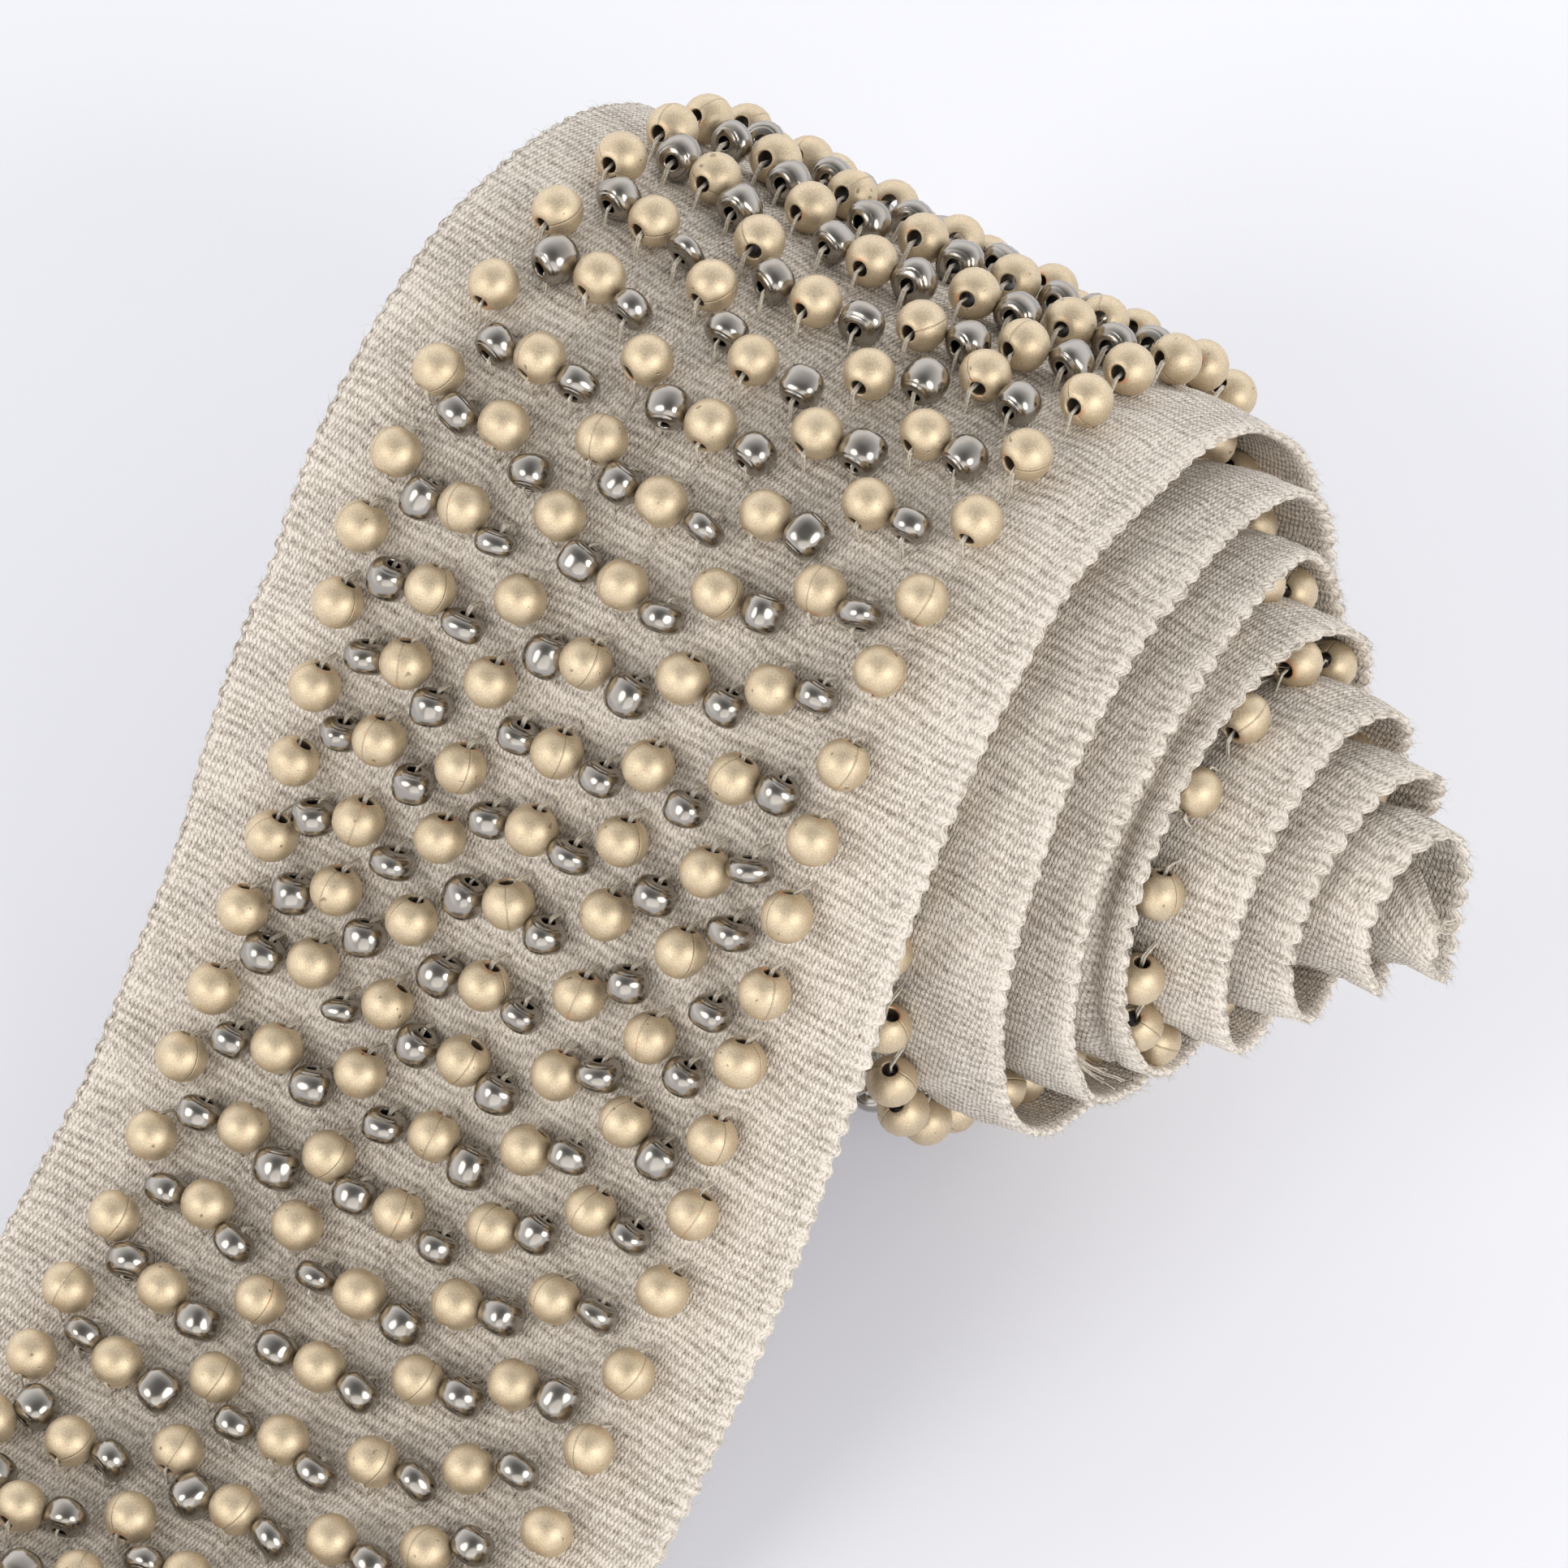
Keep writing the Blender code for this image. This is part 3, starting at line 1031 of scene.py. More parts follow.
@dataclass(frozen=True)
class FloorFinish:
    """Plain pale table.

    Attributes:
        colour: the table's own tone.
        glow: the light it gives back everywhere, which keeps the shadows pale.
        uneven: how much darker its darkest parts are, as a share.
    """

    colour: tuple[float, ...] = (0.79, 0.79, 0.79, 1.0)
    glow: tuple[float, ...] = (0.118, 0.126, 0.172, 1.0)
    uneven: float = 0.015

    def make(self, name: str) -> bpy.types.Material:
        """Lay out the table's faint unevenness and its glow.

        Args:
            name: the material's name.

        Returns:
            The material.
        """
        g = Graph(name)
        place = g.node("ShaderNodeTexCoord").outputs["Object"]
        darker = tuple((1 - self.uneven) * c for c in self.colour[:3]) + (1.0,)
        colour = g.mix(g.noise(place, 3.0, 2.0), darker, self.colour)
        return g.finish(
            Base_Color=colour, Roughness=0.9, Emission_Color=self.glow, Emission_Strength=1.0
        )


@dataclass
class Net:
    """Rings of vertices along the cloth, each one closed round it.

    Attributes:
        first: number of the first ring's first vertex.
        runs: each ring's place along the band.
        girth: each vertex's way round its ring, and last the whole way round.
    """

    first: int
    runs: np.ndarray
    girth: np.ndarray

    def count(self) -> int:
        """Count the vertices of one ring."""
        return len(self.girth) - 1

    def row(self, ring: int) -> int:
        """Give the number of a ring's first vertex."""
        return self.first + ring * self.count()

    def walls(self) -> tuple[np.ndarray, np.ndarray]:
        """Lay four-sided faces from each ring to the next.

        Returns:
            The faces, and the girth and run at each of their corners.
        """
        count = self.count()
        i, j = np.meshgrid(np.arange(len(self.runs) - 1), np.arange(count), indexing="ij")
        k = (j + 1) % count
        corner = [(i, j), (i, k), (i + 1, k), (i + 1, j)]
        faces = np.stack([self.row(a) + b for a, b in corner], axis=-1)
        uvs = [(self.girth[j + (b is k)], self.runs[a]) for a, b in corner]
        uvs = np.stack([np.stack(pair, axis=-1) for pair in uvs], axis=-2)
        return faces.reshape(-1, 4), uvs.reshape(-1, 4, 2)

    def cap(self, ring: int) -> tuple[np.ndarray, np.ndarray]:
        """Close a ring with one face.

        Args:
            ring: the ring's number.

        Returns:
            The face, and the girth and run at each of its corners.
        """
        face = self.row(ring) + np.arange(self.count())[None, :]
        girth = self.girth[:-1]
        return face, np.stack([girth, 0 * girth + self.runs[ring]], axis=-1)[None]

    def joint(self, close: "Net", keep: np.ndarray) -> list[tuple[np.ndarray, np.ndarray]]:
        """Join the last ring to a closer net, whose vertices include its own.

        Each side of the last ring gets one face, with every vertex that the closer
        net's first ring has along it.

        Args:
            close: the closer net.
            keep: which of the closer ring's vertices this ring has.

        Returns:
            Each face, and the girth and run at each of its corners.
        """
        last, first = self.row(len(self.runs) - 1), close.first
        parts = []
        for a, start in enumerate(keep):
            b = (a + 1) % self.count()
            stop = keep[b] if b else close.count()
            fine = np.arange(start, stop + 1)
            face = [last + b, last + a, *(first + fine % close.count())]
            spots = [(close.girth[f], self.runs[-1]) for f in (stop, start)]
            spots += [(close.girth[f], close.runs[0]) for f in fine]
            parts.append((np.array([face])[:, ::-1], np.array([spots])[:, ::-1]))
        return parts


@dataclass
class LinenBand:
    """The band's cloth, one closed sheet from the raw inner end to the cut end.

    Attributes:
        path: where the band runs.
        scallop: length of one weft loop along a selvedge.
        scallop_depth: how far a loop of the right selvedge stands out.
        left_share: the left selvedge's depth, as a share of that.
        loop_reach: how far into the cloth a loop is felt.
        loop_spread: how much the loops differ, and the length they differ over.
        loop_rise: how far a loop curls out of the face, as a share of its depth.
        edge: thickness of a selvedge.
        ripple: how far a selvedge waves out of the band's face.
        ripple_reach: how far in from the selvedge it waves.
        ripples: the length and the share of each of those waves.
        wander_reach: how far in a selvedge's sideways wander reaches.
        wanders: the length and the depth of each sideways wander.
        seam_depth: how far a bead thread draws the cloth in.
        seam_width: half the width of the dip along a bead thread.
        border: place across, half the width and depth, as a share of a seam's, of
            the groove at the right selvedge's own weave.
        crease: the turns at the middle of a lengthwise crease, for how many it
            runs to either side, its place across, half its width and its depth.
        step_out: where the left selvedge steps to the left down the loose end, how
            gently, how far, and how far in the step reaches.
        swells: for each swell between rows of beads, its slant across the band, its
            length along it and its height.
        swell_margin: width of the margin in which the swells fade.
        slant_fade: run over which the raw inner end's slant fades.
        calm: how far before the cut end the dips are gone, and over how much they
            fade.
        flat_from: the run from which the underside lies on the table.
        outer_stations: rings of vertices for each loop on the outer turn.
        inner_stations: rings of vertices for each loop inside.
    """

    path: BandPath
    scallop: float = 1.97
    scallop_depth: float = 0.70
    left_share: float = 0.55
    loop_reach: float = 1.2
    loop_spread: tuple[float, float] = (0.45, 2.3)
    loop_rise: float = 0.28
    edge: float = 0.72
    ripple: float = 0.38
    ripple_reach: float = 5.5
    ripples: tuple[tuple[float, float], ...] = ((7.0, 0.6), (17.0, 1.0))
    wander_reach: float = 14.0
    wanders: tuple[tuple[float, float], ...] = ((11.0, 0.22), (31.0, 0.30))
    seam_depth: float = 0.16
    seam_width: float = 0.45
    border: tuple[float, float, float] = (59.8, 0.35, 0.7)
    crease: tuple[float, float, float, float, float] = (2.78, 0.17, 59.4, 0.75, 0.9)
    step_out: tuple[float, float, float, float] = (37.0, 1.2, 0.8, 16.0)
    swells: tuple[tuple[float, float, float], ...] = ((0.9, 6.98, 0.10), (0.55, 11.3, 0.07))
    swell_margin: float = 6.0
    slant_fade: float = 14.0
    calm: tuple[float, float] = (25.0, 30.0)
    flat_from: float = 95.0
    outer_stations: int = 4
    inner_stations: int = 3

    def _ring(self) -> tuple[np.ndarray, np.ndarray, np.ndarray]:
        """Lay out one ring round the cloth, from the left selvedge over the face.

        Returns:
            Across, height and whether the inner turns keep each place.
        """
        width, cloth = self.path.width, self.path.cloth
        lines = [c.across for c in COLUMNS]
        # The face has vertices at every bead thread and close to both its sides,
        # halfway between two threads, and in the margins.
        seams = [w + d for w in lines for d in (-0.55, 0.0, 0.55)]
        between = [(a + b) / 2 for a, b in zip(lines[:-1], lines[1:])]
        margin = [0.55, 1.2, 2.2, 3.2, 4.4, 5.6, 55.0, 56.2, 57.4, 58.6, 59.3, 59.8, 60.4]
        margin += [61.1, 61.6, 62.0]
        face = np.array(sorted(seams + between + margin))
        # The selvedge is half round, and the underside comes back from it.
        turned = np.radians([60.0, 20.0, -20.0, -60.0])
        half = self.edge / 2
        edge_w = width - half * (1 - np.cos(turned)) + 0.1
        edge_h = -half + half * np.sin(turned)
        under = np.array([61.6, 60.2, 58.0, 55.0, 48.0, 38.0, 28.0, 18.0, 10.0, 5.0, 2.3, 0.9])
        thick = self.edge + (cloth - self.edge) * np.clip((width - under) / 4.0, 0, 1)
        thick = np.minimum(thick, self.edge + (cloth - self.edge) * np.clip(under / 4.0, 0, 1))
        across = np.concatenate([face, edge_w, under, (width - edge_w)[::-1]])
        height = np.concatenate([0 * face, edge_h, -thick, edge_h[::-1]])
        # The inner turns keep the margins and a few places in the middle.
        on_face = np.arange(len(across)) < len(face)
        middle = (across > 12.0) & (across < 52.0)
        kept = np.isin(np.round(across, 2), [22.6, 38.0])
        inner = np.where(on_face, ~middle | kept, ~middle | (np.abs(across - 28.0) < 1))
        return across, height, inner

    def _rims(
        self, runs: np.ndarray, u: np.ndarray, w: np.ndarray
    ) -> tuple[np.ndarray, np.ndarray]:
        """Scallop and ripple both selvedges.

        Each selvedge stands out by half a sine's arch for each weft loop, wanders
        to the side and waves in and out of the face.

        Args:
            runs: the rings' places along the band.
            u: where each vertex lies along the band.
            w: where each vertex lies across it.

        Returns:
            Every vertex's shift to the right and out of the face.
        """
        rng = np.random.default_rng(SEED)
        side = np.zeros(np.broadcast_shapes(u.shape, w.shape))
        out = np.zeros_like(side)
        spread, spread_length = self.loop_spread
        for sign in (-1.0, 1.0):
            is_right = sign > 0
            near = self.path.width - w if is_right else w
            share = np.clip(1 - (near - 0.1) / self.loop_reach, 0, 1)
            phase = 0.5 if is_right else 0.0
            loop = np.abs(np.sin(math.pi * (u / self.scallop + phase))) ** 0.8 - 0.6
            depth = self.scallop_depth * (1.0 if is_right else self.left_share)
            depth = depth * (1 + spread * smooth_noise(runs, spread_length, rng)[:, None])
            side += sign * depth * share * loop
            out += self.loop_rise * depth * share * loop
            wander = sum(smooth_noise(runs, length, rng) * far for length, far in self.wanders)
            side += np.clip(1 - near / self.wander_reach, 0, 1) * wander[:, None]
            wave = sum(smooth_noise(runs, length, rng) * part for length, part in self.ripples)
            reach = np.clip(1 - near / self.ripple_reach, 0, 1) ** 1.5
            out += self.ripple * reach * wave[:, None]
        return side, out

    def _dips(self, across: np.ndarray) -> np.ndarray:
        """Give how deep the threads draw the face in.

        Args:
            across: places across the band.

        Returns:
            The depth at each place.
        """
        seam = sum(np.exp(-(((across - c.across) / self.seam_width) ** 2)) for c in COLUMNS)
        place, half, share = self.border
        return self.seam_depth * (seam + share * np.exp(-(((across - place) / half) ** 2)))

    def _surface(self, runs: np.ndarray, across: np.ndarray, height: np.ndarray) -> np.ndarray:
        """Place a grid of the cloth's vertices.

        The face dips along every bead thread as a bell, exp(-(d / width)^2), swells
        a little between rows of beads, and dips along the crease as a bell.

        Args:
            runs: the grid's places along the band.
            across: its places across.
            height: its heights over the face.

        Returns:
            Points, with the runs' and the ring's axes first.
        """
        u, w = runs[:, None], across[None, :]
        end = np.clip(1 - (u - self.path.inner_end) / self.slant_fade, 0, 1)
        u = u + end * self.path.cut(w)
        side, out = self._rims(runs, u, w)
        start, ease, far, reach = self.step_out
        step = far / (1 + np.exp(-(u - start) / ease)) * np.clip(1 - w / reach, 0, 1)
        side -= step * (u > 0)
        out -= self._dips(across)[None, :]
        middle, reach, place, half, deep = self.crease
        along = np.exp(-(((self.path.turn(u) - middle) / reach) ** 4))
        out -= deep * along * np.exp(-(((w - place) / half) ** 2))
        inside = np.clip(np.minimum(w, self.path.width - w) / self.swell_margin, 0, 1)
        for slant, length, rise in self.swells:
            phase = u / length + slant * w / LinenFinish.line
            out += inside * rise * np.sin(2 * math.pi * phase)
        gone, over = self.calm
        calm = np.clip((self.path.cut_end - u - gone) / over, 0, 1)
        out = np.where(out < 0, out * calm, out)
        is_under = height[None, :] < -self.edge
        out = np.where(is_under & (u > self.flat_from), 0.0, out)
        return self.path.place(u, w + side, height[None, :] + out)

    def _stations(self) -> tuple[np.ndarray, np.ndarray]:
        """Choose the rings' places along the band, closer on the outer turn.

        Returns:
            The runs inside the roll and those of the outer turn, both rising.
        """
        step = self.scallop / self.outer_stations
        outer = np.arange(self.path.cut_end, self.path.run_at(1.0), -step)[::-1]
        step = self.scallop / self.inner_stations
        return np.arange(outer[0] - step, self.path.inner_end, -step)[::-1], outer

    def selvedges(self) -> tuple[np.ndarray, np.ndarray]:
        """Trace the middles of both selvedges, with their scallops and waves.

        Returns:
            Runs, and points as runs by left and right by three.
        """
        across = np.array([0.3, self.path.width - 0.3])
        height = np.full(2, -self.edge / 2)
        stations = self._stations()
        lines = [self._surface(runs, across, height) for runs in stations]
        return np.concatenate(stations), np.concatenate(lines)

    def build(self, material: bpy.types.Material) -> bpy.types.Object:
        """Build the cloth: a close net on the outer turn, a wider one inside.

        Args:
            material: the linen.

        Returns:
            The piece.
        """
        across, height, inner = self._ring()
        keep = np.flatnonzero(inner)
        inner_runs, outer_runs = self._stations()
        inside = self._surface(inner_runs, across[keep], height[keep]).reshape(-1, 3)
        outside = self._surface(outer_runs, across, height).reshape(-1, 3)
        girth = np.concatenate([[0.0], np.cumsum(np.hypot(np.diff(across), np.diff(height)))])
        girth = girth + across[0]
        round_it = girth[-1] + math.hypot(across[0] - across[-1], height[0] - height[-1])
        wide = Net(0, inner_runs, np.append(girth[keep], round_it))
        close = Net(len(inside), outer_runs, np.append(girth, round_it))
        parts = [wide.walls(), close.walls(), *wide.joint(close, keep)]
        face, uv = close.cap(len(outer_runs) - 1)
        parts += [wide.cap(0), (face[:, ::-1], uv[:, ::-1])]
        faces, uvs = ([values[:, ::-1] for values in kind] for kind in zip(*parts))
        shape = Shape(np.concatenate([inside, outside]), faces, uvs)
        return shape.make("linen_band", material)


@dataclass(frozen=True)
class BeadForm:
    """One bead turned about its hole, as points on a closed profile.

    Attributes:
        radius: half its width.
        half_length: half its length along the hole.
        hole: radius of the hole.
        fullness: 2 for a round bead, more for a barrel.
        around: points round the hole.
        along: points from hole to hole.
        lip: width of the rounded lip round the hole.
        lip_fall: how far the lip falls inwards.
        bevel: depth at which the hole's wall is straight.
    """

    radius: float
    half_length: float
    hole: float
    fullness: float
    around: int
    along: int
    lip: float = 0.14
    lip_fall: float = 0.03
    bevel: float = 0.25

    def template(self) -> tuple[np.ndarray, np.ndarray, np.ndarray, np.ndarray]:
        """Turn the profile |r / R|^n + |z / L|^n = 1, with a lip and a hole.

        Returns:
            Points, faces, the lip's share and the hole's share at each point.
        """
        n = self.fullness
        start = math.asin(min(1.0, ((self.hole + self.lip) / self.radius) ** (n / 2)))
        t = np.linspace(start, math.pi - start, self.along)
        radius = self.radius * np.sin(t) ** (2 / n)
        length = self.half_length * np.sign(np.cos(t)) * np.abs(np.cos(t)) ** (2 / n)
        end, mouth = length[0] - self.lip_fall, self.hole + self.lip_fall
        radius = np.concatenate([radius, [mouth, self.hole, self.hole, mouth]])
        length = np.concatenate([length, [-end, -end + self.bevel, end - self.bevel, end]])
        rim = np.zeros(len(radius))
        rim[[0, self.along - 1, self.along, -1]] = 1.0
        # The hole's wall is marked so that the finishes paint it dark, as painted shade.
        deep = np.zeros(len(radius))
        deep[[self.along + 1, self.along + 2]] = 1.0
        angle = np.arange(self.around) * 2 * math.pi / self.around
        x = radius[:, None] * np.cos(angle)
        y = radius[:, None] * np.sin(angle)
        z = length[:, None] + 0 * angle
        points = np.stack([x, y, z], axis=-1).reshape(-1, 3)
        i, j = np.meshgrid(np.arange(len(radius)), np.arange(self.around), indexing="ij")
        i2, j2 = (i + 1) % len(radius), (j + 1) % self.around
        corners = [a * self.around + b for a, b in ((i, j), (i2, j), (i2, j2), (i, j2))]
        faces = np.stack(corners, axis=-1).reshape(-1, 4)
        return points, faces, np.repeat(rim, self.around), np.repeat(deep, self.around)


@dataclass
class Seats:
    """Where beads sit on the band: a value for each bead in every list.

    Attributes:
        column: which column the bead is in.
        run: its middle's place along the band.
        across: its place across.
        height: its height over the face.
    """

    column: np.ndarray
    run: np.ndarray
    across: np.ndarray
    height: np.ndarray

    def pick(self, chosen: np.ndarray) -> "Seats":
        """Keep the chosen beads."""
        lists = (self.column, self.run, self.across, self.height)
        return Seats(*(values[chosen] for values in lists))


@dataclass
class Sewing:
    """The places of all the beads, strung by column and settled side by side.

    Attributes:
        path: where the band runs.
        forms: each kind's bead.
        seat: height of each kind's middle over the face when nothing lies on it.
        stray: how far a bead strays along its thread and across it.
        sway: how far a column sways to the side, and the length it sways over.
        creep: turns inwards, and how far the beads creep to the right there.
        edge_columns: the columns that show in the roll's inner turns.
        end_gap: bare cloth left at either raw end.
        touch: the two beads' radii, as a share, at which they are parted.
        sink: how far a bead sinks into the turn that lies on it.
        lowest: the lowest that a pressed bead's middle comes over the face.
    """

    path: BandPath
    forms: dict[Bead, BeadForm]
    seat: dict[Bead, float]
    stray: tuple[float, float] = (0.30, 0.18)
    sway: tuple[float, float] = (0.4, 26.0)
    creep: tuple[tuple[float, float], ...] = (
        (0.0, 0.0), (0.70, 0.5), (0.76, 0.2), (0.82, -1.0), (1.15, -1.2), (1.50, 0.2),
        (1.62, 0.4), (1.80, -0.4), (2.30, 0.2), (3.10, 2.0), (3.75, 2.9), (4.00, 2.3),
        (4.60, 0.4), (7.20, 0.0),
    )
    edge_columns: tuple[int, ...] = (0, 1, 11, 12)
    end_gap: float = 3.5
    touch: float = 0.97
    sink: float = 0.4
    lowest: float = 0.8

    def lay(self) -> Seats:
        """String the beads and part those that would run into each other.

        Returns:
            Every bead's seat, in order of its column and run, without the hidden
            beads that would come through the cloth of the turn outside them.
        """
        rng = np.random.default_rng(SEED + 1)
        low, change = self.path.inner_end + self.end_gap, self.path.run_at(1.0)
        columns, runs, across = [], [], []
        far, length = self.sway
        for index, column in enumerate(COLUMNS):
            start = low if index in self.edge_columns else change
            places = column.places(start, self.path.cut_end - self.end_gap)
            columns.append(np.full(len(places), index))
            runs.append(places + rng.normal(0, self.stray[0], len(places)))
            sway = smooth_noise(places, length, rng) * far
            sway += np.interp(self.path.turn(places), *np.array(self.creep).T)
            across.append(column.across + sway + rng.normal(0, self.stray[1], len(places)))
        column, run, across = (np.concatenate(v) for v in (columns, runs, across))
        kinds = [c.kind for c in COLUMNS]
        radius = np.array([self.forms[kind].radius for kind in kinds])[column]
        seat = np.array([self.seat[kind] for kind in kinds])[column]
        run, across = self._part(run, across, seat, radius)
        height = self._press(run, across, seat, radius)
        is_clear = height + radius < self.path.lid(run, across)
        return Seats(column, run, across, height).pick(is_clear)

    def _part(
        self, run: np.ndarray, across: np.ndarray, height: np.ndarray, radius: np.ndarray
    ) -> tuple[np.ndarray, np.ndarray]:
        """Push each two beads that overlap apart by half their overlap, six times over.

        Args:
            run: the beads' places along the band.
            across: their places across.
            height: their heights over the face.
            radius: their radii.

        Returns:
            The new places along the band and across it.
        """
        need = self.touch * (radius[:, None] + radius[None, :])
        rise = height[:, None] - height[None, :]
        for _ in range(6):
            du = run[:, None] - run[None, :]
            dw = across[:, None] - across[None, :]
            gap = np.sqrt(du * du + dw * dw + rise * rise) + 1e-6
            push = np.where(gap < need, 0.5 * (need - gap) / gap, 0.0)
            np.fill_diagonal(push, 0.0)
            run = run + (push * du).sum(axis=1)
            across = across + (push * dw).sum(axis=1)
        return run, across

    def _press(
        self, run: np.ndarray, across: np.ndarray, seat: np.ndarray, radius: np.ndarray
    ) -> np.ndarray:
        """Give each bead's height, lower where a turn or the table presses on it.

        Args:
            run: the beads' places along the band.
            across: their places across.
            seat: their heights where nothing presses on them.
            radius: their radii.

        Returns:
            The heights over the face.
        """
        room = self.path.cover(run, across)
        height = np.minimum(seat, np.maximum(room - radius + self.sink, self.lowest))
        face = self.path.place(run, across, 0.0)[:, 2]
        middle = self.path.place(run, across, height)[:, 2]
        lift = np.clip(1.03 * radius - middle, 0, None)
        is_foot = (np.cos(self.path.lean(run)) < -0.3) & (face < 8)
        return np.where(is_foot, height - lift, height)


@dataclass
class BeadSet:
    """Beads of one kind, each turned and shaped a little its own way.

    Attributes:
        form: the bead.
        path: where the band runs.
        raised: how far the hole's upper end is lifted off the cloth, in radians.
        tilt: how far its hole strays from the band's direction, in radians.
        spread: how much its length and width vary, as shares.
        square: how far its section is drawn out of round.
        seed: makes its numbers its own.
        shortest: the least length that a bead may have, as a share.
        longest: the greatest.
    """

    form: BeadForm
    path: BandPath
    raised: float
    tilt: float
    spread: tuple[float, float]
    square: float
    seed: int
    shortest: float = 0.55
    longest: float = 1.22

    def _turns(self, run: np.ndarray, rng: np.random.Generator) -> np.ndarray:
        """Turn each bead about its thread and tilt it a little.

        Args:
            run: the beads' places along the band.
            rng: the seeded source of numbers.

        Returns:
            Each bead's own axes as the rows of a matrix, its hole last.
        """
        side, along, out = self.path.axes(run)
        lean = rng.normal(0, self.tilt, (len(run), 2))
        hole = along + lean[:, :1] * side + (0.5 * lean[:, 1:] - self.raised) * out
        hole /= np.linalg.norm(hole, axis=1)[:, None]
        roll = rng.uniform(0, 2 * math.pi, len(run))[:, None]
        x = side * np.cos(roll) + out * np.sin(roll)
        x -= (x * hole).sum(axis=1)[:, None] * hole
        x /= np.linalg.norm(x, axis=1)[:, None]
        return np.stack([x, np.cross(hole, x), hole], axis=1)

    def build(self, name: str, seats: Seats, material: bpy.types.Material) -> bpy.types.Object:
        """Set a bead on every seat.

        Each bead's section is widened by cos(4a) and cos(2a) of the angle round its
        hole, and its ends slope.

        Args:
            name: the piece's name.
            seats: where the beads sit.
            material: the beads' finish.

        Returns:
            The piece.
        """
        count = len(seats.run)
        rng = np.random.default_rng(SEED + 100 + self.seed)
        points, faces, rim, deep = self.form.template()
        turn = self._turns(seats.run, rng)
        shape = np.repeat(points[None], count, axis=0)
        angle = np.arctan2(points[:, 1], points[:, 0])
        corner = self.square * rng.uniform(0.2, 1.0, (count, 1)) * np.cos(4 * angle)
        oval = self.square * rng.uniform(-1, 1, (count, 1)) * np.cos(2 * angle)
        wide = 1 + rng.normal(0, self.spread[1], (count, 1))
        shape[:, :, :2] *= ((1 + corner + oval) * wide)[:, :, None]
        length = 1 + rng.normal(0, self.spread[0], (count, 1))
        length = np.clip(length, self.shortest, self.longest)
        slope = self.square * 2 * rng.uniform(-1, 1, (count, 1))
        shape[:, :, 2] = shape[:, :, 2] * length + slope * shape[:, :, 0] * np.sign(points[:, 2])
        centre = self.path.place(seats.run, seats.across, seats.height)
        placed = np.einsum("nvi,nij->nvj", shape, turn) + centre[:, None, :]
        every = (faces[None] + np.arange(count)[:, None, None] * len(points)).reshape(-1, 4)
        made = Shape(placed.reshape(-1, 3), [every])
        made.vectors["local"] = np.tile(points / self.form.radius, (count, 1))
        made.floats["rim"] = np.tile(rim, count)
        # The hole's mark, which the finishes read for their painted shade.
        made.floats["deep"] = np.tile(deep, count)
        made.floats["tone"] = np.repeat(rng.uniform(0, 1, count), len(points))
        return made.make(name, material)


@dataclass
class Tubes:
    """Fine threads as many-sided tubes along given lines.

    Attributes:
        sides: how many flat sides a tube has.
        aside: a direction that no thread follows, from which its sides are turned.
    """

    sides: int = 4
    aside: tuple[float, float, float] = (0.31, 0.17, 0.93)

    def build(
        self, name: str, lines: np.ndarray, radius: np.ndarray, material: bpy.types.Material
    ) -> bpy.types.Object:
        """Sweep a ring along each line, turned square to it.

        Args:
            name: the piece's name.
            lines: points of each line, as lines by points by three.
            radius: the tube's radius at each point, as lines by points.
            material: the thread's finish.

        Returns:
            The piece.
        """
        count, length = lines.shape[:2]
        ahead = np.gradient(lines, axis=1)
        ahead /= np.linalg.norm(ahead, axis=2)[:, :, None] + 1e-9
        side = np.cross(ahead, np.array(self.aside))
        side /= np.linalg.norm(side, axis=2)[:, :, None] + 1e-9
        up = np.cross(side, ahead)
        angle = np.arange(self.sides)[:, None] * 2 * math.pi / self.sides
        ring = side[:, :, None] * np.cos(angle) + up[:, :, None] * np.sin(angle)
        points = lines[:, :, None] + ring * radius[:, :, None, None]
        i, j, k = np.meshgrid(
            np.arange(count), np.arange(length - 1), np.arange(self.sides), indexing="ij"
        )
        k2 = (k + 1) % self.sides

        def index(a: np.ndarray, b: np.ndarray, c: np.ndarray) -> np.ndarray:
            """Number a ring's vertex."""
            return (a * length + b) * self.sides + c

        corners = ((j, k), (j, k2), (j + 1, k2), (j + 1, k))
        faces = [np.stack([index(i, b, c) for b, c in corners], -1).reshape(-1, 4)]
        for b in (0, length - 1):
            cap = index(np.arange(count)[:, None], b, np.arange(self.sides)[None, :])
            faces.append(cap[:, ::-1] if b == 0 else cap)
        return Shape(points.reshape(-1, 3), faces).make(name, material)


